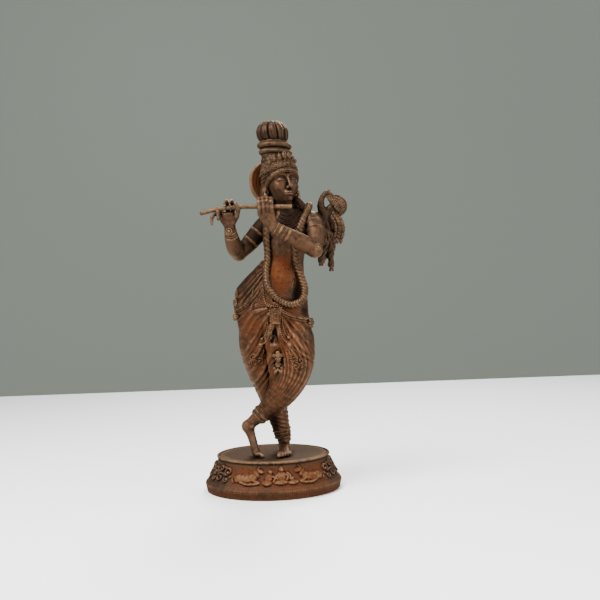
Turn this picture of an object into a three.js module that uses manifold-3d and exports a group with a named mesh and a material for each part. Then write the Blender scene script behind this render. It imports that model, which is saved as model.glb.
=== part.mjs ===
// A cast figure of Krishna playing the flute, cross-legged on an oval plinth with carved sides.
// The model is in millimetres with +Z up. Its origin is the centre of the plinth's underside,
// and the carved front of the plinth looks along -Y.
import * as THREE from "three";
import { mergeVertices } from "three/addons/utils/BufferGeometryUtils.js";
import Module from "manifold-3d";

const wasm = await Module();
wasm.setup();

// Driving sizes
const FIGURE_HEIGHT = 226; // soles to the top of the crown
const FIGURE_TURN_DEG = -6; // the figure stands a little turned on its plinth
const SEAT_GAP = 0.3; // glue line between the soles and the plinth
const PLINTH_HEIGHT = 24;
const PLINTH_WIDTH = 94; // at the widest edge, above the ribbed band
const PLINTH_DEPTH = 77;
const TOP_WIDTH = 76; // of the flat top, inside its beaded lip
const TOP_DEPTH = 62;
const FOOT_INSET = 1; // how far the ribbed band narrows towards the underside
const BAND_HEIGHT = 5.2; // the ribbed band
const FLARE_HOLLOW = 1.1; // how deep the carved side curves in
const LIP_RADIUS = 1; // the beaded lip round the top
const LEDGE = 0.6; // the carved side overhangs the ribbed band
const RIB_COUNT = 28; // also the number of beads on the lip
const RIB_DEPTH = 0.9;
const RELIEF_DEPTH = 1.5; // how far the animals and scrolls stand out
const SCROLL_RADIUS = 4.6;
const CARVED_HEIGHT = PLINTH_HEIGHT - 2 * LIP_RADIUS - BAND_HEIGHT; // the carved side, without lip and band

const FULL_TURN = 2 * Math.PI;
const MIL = FIGURE_HEIGHT / 1000; // the figure is drawn in thousandths of its own height

// Solids: three.js makes each shape, and manifold-3d joins them

// The closed solid of a three.js geometry.
function solid(geometry) {
  const bare = geometry.index ? geometry.toNonIndexed() : geometry.clone();
  bare.deleteAttribute("normal");
  bare.deleteAttribute("uv");
  const merged = mergeVertices(bare, 1e-4);
  const corners = merged.index.array;
  const kept = [];
  for (let i = 0; i < corners.length; i += 3) {
    const [a, b, c] = corners.slice(i, i + 3);
    if (a !== b && b !== c && c !== a) kept.push(a, b, c);
  }
  return new wasm.Manifold(
    new wasm.Mesh({
      numProp: 3,
      vertProperties: merged.attributes.position.array,
      triVerts: new Uint32Array(kept),
    }),
  );
}

const join = (solids) => solids.reduce((whole, piece) => whole.add(piece));

function meshOf(whole, name, material) {
  const made = whole.getMesh();
  const geometry = new THREE.BufferGeometry();
  geometry.setAttribute("position", new THREE.BufferAttribute(made.vertProperties, 3));
  geometry.setIndex(new THREE.BufferAttribute(made.triVerts, 1));
  geometry.computeVertexNormals();
  const mesh = new THREE.Mesh(geometry, material);
  mesh.name = name;
  return mesh;
}

// A closed loft. Each ring is an ellipse round its centre, wide along side and deep along front,
// and shape(angle, share) may push its points in or out; angle 0 is at the front.
function loft(rings, segments, shape = () => 1) {
  const last = rings.length - 1;
  const geometry = new THREE.CylinderGeometry(1, 1, 1, segments, last);
  const points = geometry.attributes.position;
  for (let v = 0; v < points.count; v++) {
    const share = 0.5 - points.getY(v);
    const { centre, side, front, wide, deep } = rings[Math.round(share * last)];
    const reach = shape(Math.atan2(points.getX(v), points.getZ(v)), share);
    const moved = centre
      .clone()
      .addScaledVector(side, points.getX(v) * wide * reach)
      .addScaledVector(front, points.getZ(v) * deep * reach);
    points.setXYZ(v, moved.x, moved.y, moved.z);
  }
  return solid(geometry);
}

const UP = new THREE.Vector3(0, 0, 1);
const FRONT = new THREE.Vector3(0, -1, 0);
const mil = (x, y, z) => new THREE.Vector3(x, y, z).multiplyScalar(MIL);

// An upright form from rows of [height, x, y, half width, half depth, tilt in degrees], lowest row first;
// a tilted row drops to the figure's left.
function upright(rows, segments, shape) {
  const rings = rows.map(([z, x, y, wide, deep, tilt = 0]) => {
    const drop = THREE.MathUtils.degToRad(tilt);
    const side = new THREE.Vector3(Math.cos(drop), 0, -Math.sin(drop));
    return { centre: mil(x, y, z), side, front: FRONT, wide: wide * MIL, deep: deep * MIL };
  });
  return loft(rings.reverse(), segments, shape);
}

// A limb along a smooth path of [x, y, z, half width, half depth], with rounded ends where asked.
function limb(path, { segments = 10, steps = 8, front = FRONT, start = false, end = false, shape } = {}) {
  const smooth = (points) => new THREE.CatmullRomCurve3(points, false, "catmullrom", 0.5);
  const line = smooth(path.map(([x, y, z]) => mil(x, y, z)));
  const sizes = smooth(path.map(([, , , wide, deep = wide]) => new THREE.Vector3(wide, deep, 0)));
  const rings = [];
  const ring = (t, ahead, share) => {
    const along = line.getTangent(t);
    const size = sizes.getPoint(t).multiplyScalar(MIL);
    const facing = front.clone().addScaledVector(along, -front.dot(along)).normalize();
    rings.push({
      centre: line.getPoint(t).addScaledVector(along, ahead * Math.max(size.x, size.y)),
      side: facing.clone().cross(along),
      front: facing,
      wide: size.x * share,
      deep: size.y * share,
    });
  };
  if (start) ring(0, -0.7, 0.6);
  for (let i = 0; i <= steps; i++) ring(i / steps, 0, 1);
  if (end) ring(1, 0.7, 0.6);
  return loft(rings, segments, shape);
}

// An egg shape from its centre and its half sizes along the row axes, leaned by Euler angles in degrees.
function egg([x, y, z], [wide, deep, high], { lean = [0, 0, 0], around = 10, up = 7 } = {}) {
  const geometry = new THREE.SphereGeometry(1, around, up).rotateX(Math.PI / 2);
  geometry.scale(wide * MIL, deep * MIL, high * MIL);
  const turn = new THREE.Euler(...lean.map(THREE.MathUtils.degToRad));
  geometry.applyQuaternion(new THREE.Quaternion().setFromEuler(turn));
  const centre = mil(x, y, z);
  return solid(geometry.translate(centre.x, centre.y, centre.z));
}

const bead = (x, y, z, radius) => {
  const centre = mil(x, y, z);
  return solid(new THREE.IcosahedronGeometry(radius * MIL, 0).translate(centre.x, centre.y, centre.z));
};

// A hoop round an axis, for bangles and crown rings.
function hoop([x, y, z], axis, radius, thickness, { around = 14, section = 5, flat = 1 } = {}) {
  const geometry = new THREE.TorusGeometry(radius * MIL, thickness * MIL, section, around);
  geometry.scale(1, flat, 1);
  const turn = new THREE.Quaternion().setFromUnitVectors(UP, new THREE.Vector3(...axis).normalize());
  geometry.applyQuaternion(turn);
  const centre = mil(x, y, z);
  return solid(geometry.translate(centre.x, centre.y, centre.z));
}

// The figure. x runs to its left hand, y to its back and z up, all in thousandths of its height.

// Folds that run along a form from one share of its length to another: count ridges that stand out by depth.
const folds = (count, depth, { from = 0, to = 1, twist = 0 } = {}) => (angle, share) =>
  share < from || share > to ? 1 : 1 + depth * Math.cos(count * angle + twist * share);

// Bangles on a limb: a ridge of the given height at each of the listed rings.
const bangles = (steps, rings, height) => (_, share) =>
  rings.some((ring) => Math.abs(share * steps - ring) < 0.3) ? 1 + height : 1;

function trunk() {
  const rows = [
    [325, 8, -2, 60, 40, 10],
    [362, 6, 0, 106, 62, 12],
    [405, 3, 0, 112, 68, 15],
    [430, 3, 0, 109, 68, 16],
    [439, 3, 0, 117, 76, 16], // belt
    [448, 3, 0, 108, 68, 16],
    [488, 9, 0, 101, 63, 10],
    [543, 30, 0, 76, 50, 5],
    [578, 43, 0, 60, 45],
    [612, 48, 1, 64, 47],
    [655, 54, 2, 79, 51],
    [688, 57, 3, 82, 50],
    [714, 56, 4, 62, 37],
    [740, 51, 0, 29, 26],
    [778, 44, -12, 25, 25],
  ];
  const hem = 7 / 14; // the cloth covers the rows below this share
  return upright(rows, 16, folds(8, 0.03, { from: hem + 0.01 }));
}

function legs() {
  const standing = 8;
  const crossing = 9;
  const together = (first, second) => (angle, share) => first(angle, share) * second(angle, share);
  return [
    // The standing leg in its pleated cloth, down to the ankle
    limb(
      [
        [-42, 4, 400, 46, 46],
        [-42, 5, 340, 56, 56],
        [-29, 6, 268, 51, 52],
        [-10, 9, 200, 42, 44],
        [8, 12, 140, 37, 38],
        [21, 14, 88, 31, 32],
        [29, 17, 36, 21, 22],
        [33, 14, 4, 20, 22],
      ],
      {
        segments: 14,
        steps: standing,
        shape: together(folds(7, 0.07, { to: 0.8, twist: 4 }), bangles(standing, [7], 0.25)),
      },
    ),
    // The crossing leg, over the other one, down to its ankle
    limb(
      [
        [58, -4, 400, 46, 46],
        [70, -22, 345, 58, 58],
        [68, -52, 270, 56, 52],
        [42, -66, 208, 48, 42],
        [6, -62, 160, 37, 34],
        [-24, -55, 130, 28, 27],
        [-50, -50, 108, 20, 20],
        [-72, -45, 92, 17, 17],
      ],
      {
        segments: 14,
        steps: crossing,
        shape: together(folds(7, 0.07, { to: 0.8, twist: -4 }), bangles(crossing, [8], 0.3)),
      },
    ),
    // The fall of pleats between the legs
    limb([[15, -62, 396, 32, 14], [16, -68, 330, 34, 17], [14, -62, 260, 26, 15], [5, -58, 205, 14, 12]], {
      segments: 8,
      steps: 3,
      shape: folds(4, 0.1),
    }),
  ];
}

function feet() {
  // A row of toes: the first one is the big toe
  const toes = (base, step, heading, count) =>
    Array.from({ length: count }, (_, i) => {
      const [x, y] = [base[0] + step[0] * i, base[1] + step[1] * i];
      const radius = 8 - i;
      return limb([[x, y, 8, radius], [x + heading[0], y + heading[1], 5, radius]], TOE);
    });
  return [
    // Standing foot, flat on the plinth
    limb([[35, 24, 12, 17, 15], [34, -20, 10, 20, 14], [31, -62, 6, 22, 9]], {
      segments: 8,
      steps: 3,
      front: UP,
      start: true,
    }),
    ...toes([16, -62], [9, 1], [-1, -18], 4),
    // Raised foot, standing on its toes
    egg([-79, -43, 86], [15, 14, 15], { around: 6, up: 4 }),
    limb([[-70, -45, 92, 20, 17], [-60, -50, 45, 16, 15], [-50, -55, 4, 15, 17]], { segments: 8, steps: 3 }),
    ...toes([-50, -68], [5, 9], [18, -5], 3),
  ];
}

const TOE = { segments: 4, steps: 1, front: UP };

const LEFT_ELBOW = [132, -92, 604];
const LEFT_WRIST = [14, -118, 672];
const RIGHT_ELBOW = [-92, 0, 601];
const RIGHT_WRIST = [-113, -84, 672];

// Upper arms with their armlets, and forearms that end in wide cuffs.
function arms() {
  return [
    limb([[112, 4, 706, 31], [134, -22, 674, 32], [138, -60, 636, 28], [...LEFT_ELBOW, 28]], {
      segments: 8,
      steps: 6,
      start: true,
      end: true,
      shape: bangles(6, [2, 4], 0.16),
    }),
    limb([[...LEFT_ELBOW, 21], [84, -104, 630, 26], [...LEFT_WRIST, 17]], {
      segments: 8,
      steps: 5,
      shape: bangles(5, [4, 5], 0.22),
    }),
    limb([[-2, 10, 700, 28], [-36, 10, 660, 30], [-70, 6, 622, 27], [...RIGHT_ELBOW, 26]], {
      segments: 8,
      steps: 6,
      start: true,
      end: true,
      shape: bangles(6, [2, 4], 0.14),
    }),
    limb([[...RIGHT_ELBOW, 19], [-106, -40, 630, 24], [...RIGHT_WRIST, 16]], {
      segments: 8,
      steps: 5,
      shape: bangles(5, [4, 5], 0.22),
    }),
  ];
}

// Each finger is a path of [x, y, z, radius].
function hands() {
  const finger = (path) => limb(path, { segments: 4, steps: 2, end: true });
  return [
    // Left hand, in front of the chest, its fingers over the flute
    limb(
      [
        [16, -118, 668, 17, 14],
        [0, -117, 694, 21, 12],
        [-9, -115, 716, 25, 12],
        [-12, -121, 732, 24, 11],
        [-13, -114, 748, 21, 9],
      ],
      { segments: 12, steps: 4, shape: folds(6, 0.07, { from: 0.5 }) },
    ),
    finger([[12, -120, 704, 6], [17, -127, 730, 6], [8, -118, 752, 5]]),
    // Right hand, its palm to the front
    limb([[-113, -84, 668, 17, 13], [-114, -90, 688, 20, 12], [-118, -92, 706, 24, 11]], {
      segments: 7,
      steps: 1,
      end: true,
    }),
    finger([[-102, -92, 688, 7], [-88, -104, 712, 6], [-96, -112, 742, 5]]),
    finger([[-108, -92, 708, 6], [-106, -94, 732, 6], [-110, -112, 746, 5]]),
    finger([[-120, -92, 708, 6], [-120, -94, 732, 6], [-123, -112, 744, 5]]),
    finger([[-132, -92, 706, 6], [-141, -104, 724, 6], [-138, -117, 700, 4.5]]),
    finger([[-132, -92, 700, 6], [-156, -104, 714, 6], [-160, -113, 684, 4.5]]),
  ];
}

function flute() {
  return limb(
    [
      [-192, -100, 716, 7],
      [-135, -103, 727, 7],
      [-80, -106, 731, 7],
      [0, -112, 730, 7],
      [62, -118, 729, 7],
    ],
    { segments: 6, steps: 3 },
  );
}

// The head leans a little to its right and looks past its left shoulder.
const HEAD = [36, -14, 815];
const HEAD_LEAN_DEG = -7;
const GAZE_DEG = 24;
const HEAD_TURN = { lean: [0, HEAD_LEAN_DEG, GAZE_DEG], around: 6, up: 3 };

// A place on the head: across to its left, ahead of its middle, and up.
function onHead(across, ahead, up) {
  const place = new THREE.Vector3(across, -ahead, up)
    .applyAxisAngle(UP, THREE.MathUtils.degToRad(GAZE_DEG))
    .applyAxisAngle(new THREE.Vector3(0, 1, 0), THREE.MathUtils.degToRad(HEAD_LEAN_DEG));
  return [HEAD[0] + place.x, HEAD[1] + place.y, HEAD[2] + place.z];
}

function head() {
  const feature = (place, size, options) => egg(onHead(...place), size, { ...HEAD_TURN, ...options });
  return [
    feature([0, -2, 12], [52, 57, 60], { around: 12, up: 8 }),
    feature([0, 12, -18], [41, 42, 53], { around: 8, up: 6 }),
    feature([0, 37, -55], [15, 15, 13]),
    limb([[...onHead(0, 52, 16), 5, 5], [...onHead(0, 60, -10), 8, 8]], { segments: 5, steps: 1, end: true }),
    feature([0, 50, -33], [14, 9, 7]),
    ...[-1, 1].flatMap((hand) => [
      feature([hand * 19, 44, 6], [12, 10, 8]),
      feature([hand * 50, -4, -6], [9, 13, 22]),
      limb([[...onHead(hand * 51, -2, -22), 9], [...onHead(hand * 53, 6, -62), 8]], {
        segments: 5,
        steps: 1,
        end: true,
      }),
    ]),
  ];
}

// A band round the brow, and its leaves, tallest in the middle.
function diadem() {
  const band = [26, 34, 42].map((up, i) => [up, 52 + (i === 1 ? 7 : 0), 56 + (i === 1 ? 7 : 0)]);
  const turn = THREE.MathUtils.degToRad(GAZE_DEG);
  const side = new THREE.Vector3(Math.cos(turn), Math.sin(turn), 0);
  const rings = band.reverse().map(([up, wide, deep]) => ({
    centre: mil(...onHead(0, -2, up)),
    side,
    front: side.clone().cross(UP),
    wide: wide * MIL,
    deep: deep * MIL,
  }));
  const leaves = [-2, -1, 0, 1, 2].map((i) => {
    const angle = i * 0.6;
    const tall = 32 - 8 * Math.abs(i);
    return egg(onHead(Math.sin(angle) * 47, Math.cos(angle) * 50 - 4, 38 + tall * 0.8), [13, 8, tall], {
      ...HEAD_TURN,
      around: 5,
    });
  });
  return [loft(rings, 12), ...leaves];
}

// Hair gathered behind and falling between the shoulders, and locks on the left shoulder.
function hair() {
  return [
    limb(
      [
        [...onHead(0, -34, 10), 38, 28],
        [...onHead(-4, -38, -50), 42, 28],
        [56, 46, 706, 44, 20],
        [56, 54, 640, 32, 16],
        [54, 48, 575, 12, 9],
      ],
      { segments: 8, steps: 5, end: true, shape: folds(4, 0.07) },
    ),
    limb([[...onHead(46, -14, -24), 12], [88, -4, 756, 13], [110, -8, 730, 9]], {
      segments: 5,
      steps: 2,
      end: true,
    }),
  ];
}

const DISC_RADIUS = 69;
const DISC_FLUTES = 14;

// The fluted disc behind the head, facing the way the head does.
function disc() {
  const centre = onHead(-3, -62, 6);
  const ahead = onHead(0, 50, 6).map((value, i) => value - centre[i]);
  const rows = [[0, -9], [1, -3], [0.95, 7], [0, 9]];
  const profile = rows.map(([share, height]) => new THREE.Vector2(share * DISC_RADIUS * MIL, height * MIL));
  const geometry = new THREE.LatheGeometry(profile, DISC_FLUTES * 2).rotateX(Math.PI / 2);
  const points = geometry.attributes.position;
  for (let v = 0; v < points.count; v++) {
    const angle = Math.atan2(points.getY(v), points.getX(v));
    const share = Math.hypot(points.getX(v), points.getY(v)) / (DISC_RADIUS * MIL);
    const ridge = 1 + 0.035 * share * Math.cos(DISC_FLUTES * angle);
    points.setXYZ(v, points.getX(v) * ridge, points.getY(v) * ridge, points.getZ(v) * (1 + (ridge - 1) * 8));
  }
  geometry.applyQuaternion(
    new THREE.Quaternion().setFromUnitVectors(UP, new THREE.Vector3(...ahead).normalize()),
  );
  const place = mil(...centre);
  return solid(geometry.translate(place.x, place.y, place.z));
}

// The tall crown: a tapering neck with two beaded rings, and a lobed bulb on top.
function crown() {
  const lobes = 8;
  const rows = [
    [852, 31, -8, 50, 52],
    [880, 28, -6, 44, 46],
    [895, 26, -4, 44, 44],
    [908, 24, -2, 47, 47],
    [914, 23, -1, 39, 39],
    [920, 22, 0, 50, 50],
    [931, 20, 2, 50, 50],
    [937, 19, 3, 38, 38],
    [946, 17, 5, 46, 46],
    [964, 15, 6, 48, 48],
    [982, 13, 8, 39, 39],
    [994, 13, 9, 25, 25],
    [1000, 13, 9, 8, 8],
  ];
  return upright(rows, 2 * lobes, folds(lobes, 0.05, { to: 4.5 / 12 }));
}

const GARLAND_ROPE = 10;
const GARLAND_FLOWERS = 21;

// The long garland: a rope of flowers from shoulder to shoulder, down to the hips and round the nape.
function garland() {
  const path = [
    [60, 52, 700],
    [108, 44, 728],
    [120, 4, 742],
    [109, -40, 716],
    [98, -56, 690],
    [84, -58, 655],
    [74, -54, 610],
    [80, -56, 566],
    [95, -62, 525],
    [104, -70, 485],
    [90, -78, 455],
    [60, -82, 447],
    [30, -78, 459],
    [6, -70, 480],
    [-8, -60, 512],
    [-9, -54, 548],
    [-4, -50, 592],
    [-12, -52, 650],
    [-2, -38, 700],
    [14, 4, 735],
    [30, 40, 715],
    [60, 52, 700],
  ];
  const flowers = (_, share) => 1 + 0.16 * Math.cos(FULL_TURN * GARLAND_FLOWERS * share);
  return limb(
    path.map((place) => [...place, GARLAND_ROPE]),
    { segments: 4, steps: 2 * GARLAND_FLOWERS, shape: flowers },
  );
}

// Plaque, sash tails, tassels and the knots on the hips.
function girdle() {
  const tail = (path) => limb(path, { segments: 4, steps: path.length - 1, end: true });
  return [
    limb([[13, -78, 438, 16, 8], [13, -80, 386, 14, 8]], { segments: 6, steps: 1 }),
    tail([[4, -80, 400, 9], [-8, -82, 366, 9], [-24, -80, 336, 10]]),
    tail([[24, -80, 400, 9], [38, -84, 366, 9], [53, -86, 334, 10]]),
    ...[[-31, -76, 327], [10, -84, 328], [53, -88, 325]].map((place) => bead(...place, 12)),
    tail([[-30, -72, 320, 8], [-46, -66, 294, 8], [-66, -56, 280, 7]]),
    tail([[19, -80, 306, 9], [19, -78, 284, 7], [20, -74, 260, 11]]),
    tail([[53, -86, 318, 8], [66, -90, 294, 9], [74, -90, 266, 8]]),
    bead(-100, -14, 478, 13),
    bead(-103, -18, 452, 13),
    bead(-104, -24, 410, 14),
    bead(116, -24, 386, 16),
  ];
}

function collar() {
  return hoop([55, -12, 704], [0, -0.75, 1], 46, 9, { around: 12, section: 4 });
}

// The peacock behind the left shoulder, and the scarf that hangs from there with its tassels.
function peacock() {
  const ended = { segments: 5, end: true };
  return [
    limb(
      [
        [168, 36, 690, 15, 14],
        [170, 34, 716, 17, 15],
        [158, 30, 744, 13, 12],
        [165, 28, 770, 8, 8],
        [184, 27, 782, 8, 8],
        [200, 26, 766, 4, 4],
      ],
      { ...ended, steps: 7 },
    ),
    limb([[174, 36, 722, 12, 10], [202, 35, 742, 20, 16], [222, 36, 754, 21, 17]], {
      segments: 8,
      steps: 2,
      end: true,
      shape: folds(4, 0.1),
    }),
    limb([[180, 38, 724, 12, 9], [206, 38, 690, 16, 11], [214, 36, 662, 14, 10], [206, 35, 642, 7, 6]], {
      ...ended,
      steps: 3,
    }),
    ...[0, 1, 2].map((i) => bead(206 + 5 * i, 28, 704 - 19 * i, 9)),
    limb(
      [
        [134, 24, 706, 24, 13],
        [172, 42, 668, 27, 14],
        [184, 38, 628, 24, 14],
        [184, 37, 588, 15, 11],
      ],
      { segments: 8, steps: 3, end: true, shape: folds(4, 0.1, { twist: 3 }) },
    ),
    limb([[168, 36, 610, 10], [160, 34, 576, 12]], { ...ended, steps: 1 }),
    limb([[186, 36, 590, 8], [190, 34, 556, 6]], { ...ended, steps: 1 }),
  ];
}

// Everything under the soles is cut away, so that they stand flat.
function figure() {
  const whole = join([
    trunk(),
    ...legs(),
    ...feet(),
    ...arms(),
    ...hands(),
    flute(),
    ...head(),
    ...diadem(),
    ...hair(),
    disc(),
    crown(),
    collar(),
    garland(),
    ...girdle(),
    ...peacock(),
  ]);
  const below = new THREE.BoxGeometry(FIGURE_HEIGHT, FIGURE_HEIGHT, FIGURE_HEIGHT);
  return whole.subtract(solid(below.translate(0, 0, -FIGURE_HEIGHT / 2)));
}

// The plinth

// Half width or depth of the carved side at a share of its height, from its full sizes at the top and the edge.
function sideAt(share, top, edge) {
  return (edge + (top - edge) * share) / 2 - FLARE_HOLLOW * Math.sin(Math.PI * share);
}

// A point on the carved side: angle 0 is the middle of the front, and out is away from the wall.
function onSide(angle, share, out = 0) {
  const wide = sideAt(share, TOP_WIDTH, PLINTH_WIDTH);
  const deep = sideAt(share, TOP_DEPTH, PLINTH_DEPTH);
  const height = BAND_HEIGHT + CARVED_HEIGHT * share;
  const normal = new THREE.Vector3(Math.sin(angle) / wide, -Math.cos(angle) / deep, 0).normalize();
  normal.z = 0.45;
  normal.normalize();
  const place = new THREE.Vector3(Math.sin(angle) * wide, -Math.cos(angle) * deep, height);
  return place.addScaledVector(normal, out);
}

// A ring of the plinth at a height, as an ellipse of two half widths.
const level = (height, wide, deep) => ({
  centre: new THREE.Vector3(0, 0, height),
  side: new THREE.Vector3(1, 0, 0),
  front: FRONT,
  wide,
  deep,
});

// Ribbed band, overhanging carved side and beaded lip, as one closed form.
function plinthBody() {
  const edge = [PLINTH_WIDTH / 2, PLINTH_DEPTH / 2];
  const top = [TOP_WIDTH / 2, TOP_DEPTH / 2];
  const inset = ([wide, deep], by) => [wide - by, deep - by];
  const side = (share) => [
    BAND_HEIGHT + CARVED_HEIGHT * share,
    [sideAt(share, TOP_WIDTH, PLINTH_WIDTH), sideAt(share, TOP_DEPTH, PLINTH_DEPTH)],
  ];
  const rows = [
    [PLINTH_HEIGHT, inset(top, 0.4)],
    [PLINTH_HEIGHT - LIP_RADIUS, inset(top, -LIP_RADIUS), "beads"],
    side(1),
    side(0.5),
    side(0),
    [BAND_HEIGHT - 0.1, inset(edge, LEDGE), "ribs"],
    [0, inset(edge, LEDGE + FOOT_INSET), "ribs"],
  ];
  const carving = {
    beads: (angle) => 1 + (LIP_RADIUS / TOP_WIDTH) * 0.5 * Math.cos(RIB_COUNT * angle),
    ribs: (angle) => 1 - (RIB_DEPTH / PLINTH_WIDTH) * (1 - Math.cos(RIB_COUNT * angle)),
  };
  return loft(
    rows.map(([height, [wide, deep]]) => level(height, wide, deep)),
    2 * RIB_COUNT,
    (angle, share) => {
      const cut = carving[rows[Math.round(share * (rows.length - 1))][2]];
      return cut ? cut(angle) : 1;
    },
  );
}

// A rounded boss on the carved side, its half sizes along the wall and up the slope as shares of the carved
// height, standing out by the relief's depth.
function boss(angle, share, [along, up], tilt = 0) {
  const geometry = new THREE.SphereGeometry(1, 6, 3);
  geometry.scale(along * CARVED_HEIGHT, up * CARVED_HEIGHT, RELIEF_DEPTH).rotateZ(tilt);
  const centre = onSide(angle, share, 0);
  const outward = onSide(angle, share, 1).sub(centre);
  const across = UP.clone().cross(outward).normalize();
  const basis = new THREE.Matrix4().makeBasis(across, outward.clone().cross(across), outward);
  geometry.applyMatrix4(basis).translate(centre.x, centre.y, centre.z);
  return solid(geometry);
}

// The angle round the plinth at a share of the carved height along the wall, near its front.
const wallAngle = (along) => (along * CARVED_HEIGHT) / (PLINTH_WIDTH / 2);

// A resting cow that faces along the wall, towards hand.
function cow(angle, hand) {
  const at = (along) => angle + hand * wallAngle(along);
  return [
    boss(at(-0.06), 0.4, [0.37, 0.17]),
    boss(at(-0.38), 0.38, [0.14, 0.18]),
    boss(at(0.27), 0.62, [0.09, 0.2], -hand * 0.45),
    boss(at(0.39), 0.76, [0.155, 0.09], -hand * 0.7),
    boss(at(0.12), 0.19, [0.24, 0.065]),
    boss(at(-0.3), 0.17, [0.18, 0.065]),
  ];
}

// Two seated people and what they tend, in the middle of the front.
function herders() {
  return [
    boss(wallAngle(0.06), 0.52, [0.155, 0.26]),
    boss(wallAngle(0.06), 0.86, [0.1, 0.1]),
    boss(wallAngle(-0.27), 0.24, [0.18, 0.165]),
    boss(wallAngle(-0.25), 0.5, [0.11, 0.14]),
    boss(wallAngle(0.4), 0.22, [0.2, 0.105]),
    boss(wallAngle(0.27), 0.55, [0.08, 0.2], 0.3),
  ];
}

// A scroll of foliage that curls in on itself; hand is the way it turns.
function scroll(angle, share, hand) {
  const steps = 7;
  const path = Array.from({ length: steps + 1 }, (_, i) => {
    const t = i / steps;
    const turn = hand * (0.6 + 1.2 * t) * FULL_TURN;
    const radius = SCROLL_RADIUS * (1 - 0.7 * t);
    const along = (radius * Math.cos(turn)) / (PLINTH_WIDTH / 2.3);
    const point = onSide(angle + along, share + (radius * Math.sin(turn)) / PLINTH_HEIGHT, 0.5);
    return [...point.toArray().map((value) => value / MIL), (1.6 - 0.5 * t) / MIL];
  });
  return limb(path, { segments: 3, steps, front: UP });
}

function plinth() {
  const foliage = [1, 3].flatMap((side) =>
    [-0.42, 0.42].map((offset) => scroll((side * Math.PI) / 2 + offset, 0.5, Math.sign(offset))),
  );
  return join([
    plinthBody(),
    ...cow(-0.5, 1),
    ...cow(0.5, -1),
    ...herders(),
    ...foliage,
  ]);
}

// Assembly
const bronzeResin = new THREE.MeshStandardMaterial({ color: 0x5a3524, roughness: 0.42, metalness: 0.35 });
const plinthResin = new THREE.MeshStandardMaterial({ color: 0x4a3028, roughness: 0.5, metalness: 0.3 });

const statue = new THREE.Group();
const figureMesh = meshOf(figure(), "krishna_figure", bronzeResin);
figureMesh.position.z = PLINTH_HEIGHT + SEAT_GAP;
figureMesh.rotation.z = THREE.MathUtils.degToRad(FIGURE_TURN_DEG);
statue.add(figureMesh, meshOf(plinth(), "plinth", plinthResin));

export default statue;
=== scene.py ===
"""The looks of a cast flute player in antique copper, cross-legged on an oval plinth with carved sides."""

import math

import bmesh
import bpy
import numpy as np
from mathutils import Matrix, Vector
from mathutils.bvhtree import BVHTree


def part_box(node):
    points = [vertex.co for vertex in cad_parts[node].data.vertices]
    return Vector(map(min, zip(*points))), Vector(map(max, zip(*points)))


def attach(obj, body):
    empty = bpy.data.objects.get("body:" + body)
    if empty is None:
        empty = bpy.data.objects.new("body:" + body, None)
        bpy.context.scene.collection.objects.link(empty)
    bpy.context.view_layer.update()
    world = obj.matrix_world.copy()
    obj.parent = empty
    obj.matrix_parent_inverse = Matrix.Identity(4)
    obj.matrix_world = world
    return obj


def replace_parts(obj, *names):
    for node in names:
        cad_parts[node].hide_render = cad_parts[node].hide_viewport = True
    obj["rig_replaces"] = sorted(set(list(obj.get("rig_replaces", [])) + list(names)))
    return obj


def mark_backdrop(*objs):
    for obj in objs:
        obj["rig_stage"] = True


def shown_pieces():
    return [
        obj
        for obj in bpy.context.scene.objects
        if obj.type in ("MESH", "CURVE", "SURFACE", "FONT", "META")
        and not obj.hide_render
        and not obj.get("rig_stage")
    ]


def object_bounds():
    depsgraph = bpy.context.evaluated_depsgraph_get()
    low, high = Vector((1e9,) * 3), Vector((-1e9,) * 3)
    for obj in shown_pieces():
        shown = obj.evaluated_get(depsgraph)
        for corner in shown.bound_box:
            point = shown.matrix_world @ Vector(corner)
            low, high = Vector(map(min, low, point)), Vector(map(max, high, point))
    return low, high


bl_info = {
    "name": "Cast Flute Player",
    "version": (1, 0, 0),
    "blender": (4, 5, 0),
    "location": "View3D > Sidebar > Flute Player",
    "description": "Builds a cast figure of a flute player, its ornaments and its carved plinth",
    "category": "Object",
}

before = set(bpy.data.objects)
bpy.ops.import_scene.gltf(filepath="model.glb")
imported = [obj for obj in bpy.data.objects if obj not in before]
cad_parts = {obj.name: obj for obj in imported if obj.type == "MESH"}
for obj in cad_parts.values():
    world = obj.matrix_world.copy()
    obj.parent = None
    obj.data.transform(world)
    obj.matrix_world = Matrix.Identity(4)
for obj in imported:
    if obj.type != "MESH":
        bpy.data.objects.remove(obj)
cad_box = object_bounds()

# Sizes that the frame gives, in metres
FIGURE_NODE = "krishna_figure"
PLINTH_NODE = "plinth"
figure_low, figure_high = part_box(FIGURE_NODE)
plinth_low, plinth_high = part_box(PLINTH_NODE)
MIL = (figure_high.z - figure_low.z) / 1000  # the figure is drawn in thousandths of its own height
FIGURE_TURN = math.radians(-6)
MM = 0.001

# The plinth in millimetres: half sizes at its widest edge and inside its lip, then its heights and steps
PLINTH_TALL = plinth_high.z / MM
EDGE_WIDE = (plinth_high.x - plinth_low.x) / 2 / MM
EDGE_DEEP = (plinth_high.y - plinth_low.y) / 2 / MM
TOP_WIDE, TOP_DEEP = 38.0, 31.0
LIP = 1.0  # the rope lip's radius
BAND = 5.2  # the ribbed band
SHOULDER = PLINTH_TALL - 2 * LIP  # where the carved side ends
HOLLOW = 1.1  # how deep the carved side curves in
LEDGE = 0.6  # how far it overhangs the band
FOOT = 1.0  # how far the band narrows towards the underside

RIGHT = np.array([1.0, 0.0, 0.0])  # as seen from the front
FRONT = np.array([0.0, -1.0, 0.0])
UP = np.array([0.0, 0.0, 1.0])
FULL_TURN = 2 * math.pi
FAR = 60.0  # what a grid of clay holds where there is nothing near
MARGIN = 14.0  # how far round a form its distances are worked out

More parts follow.
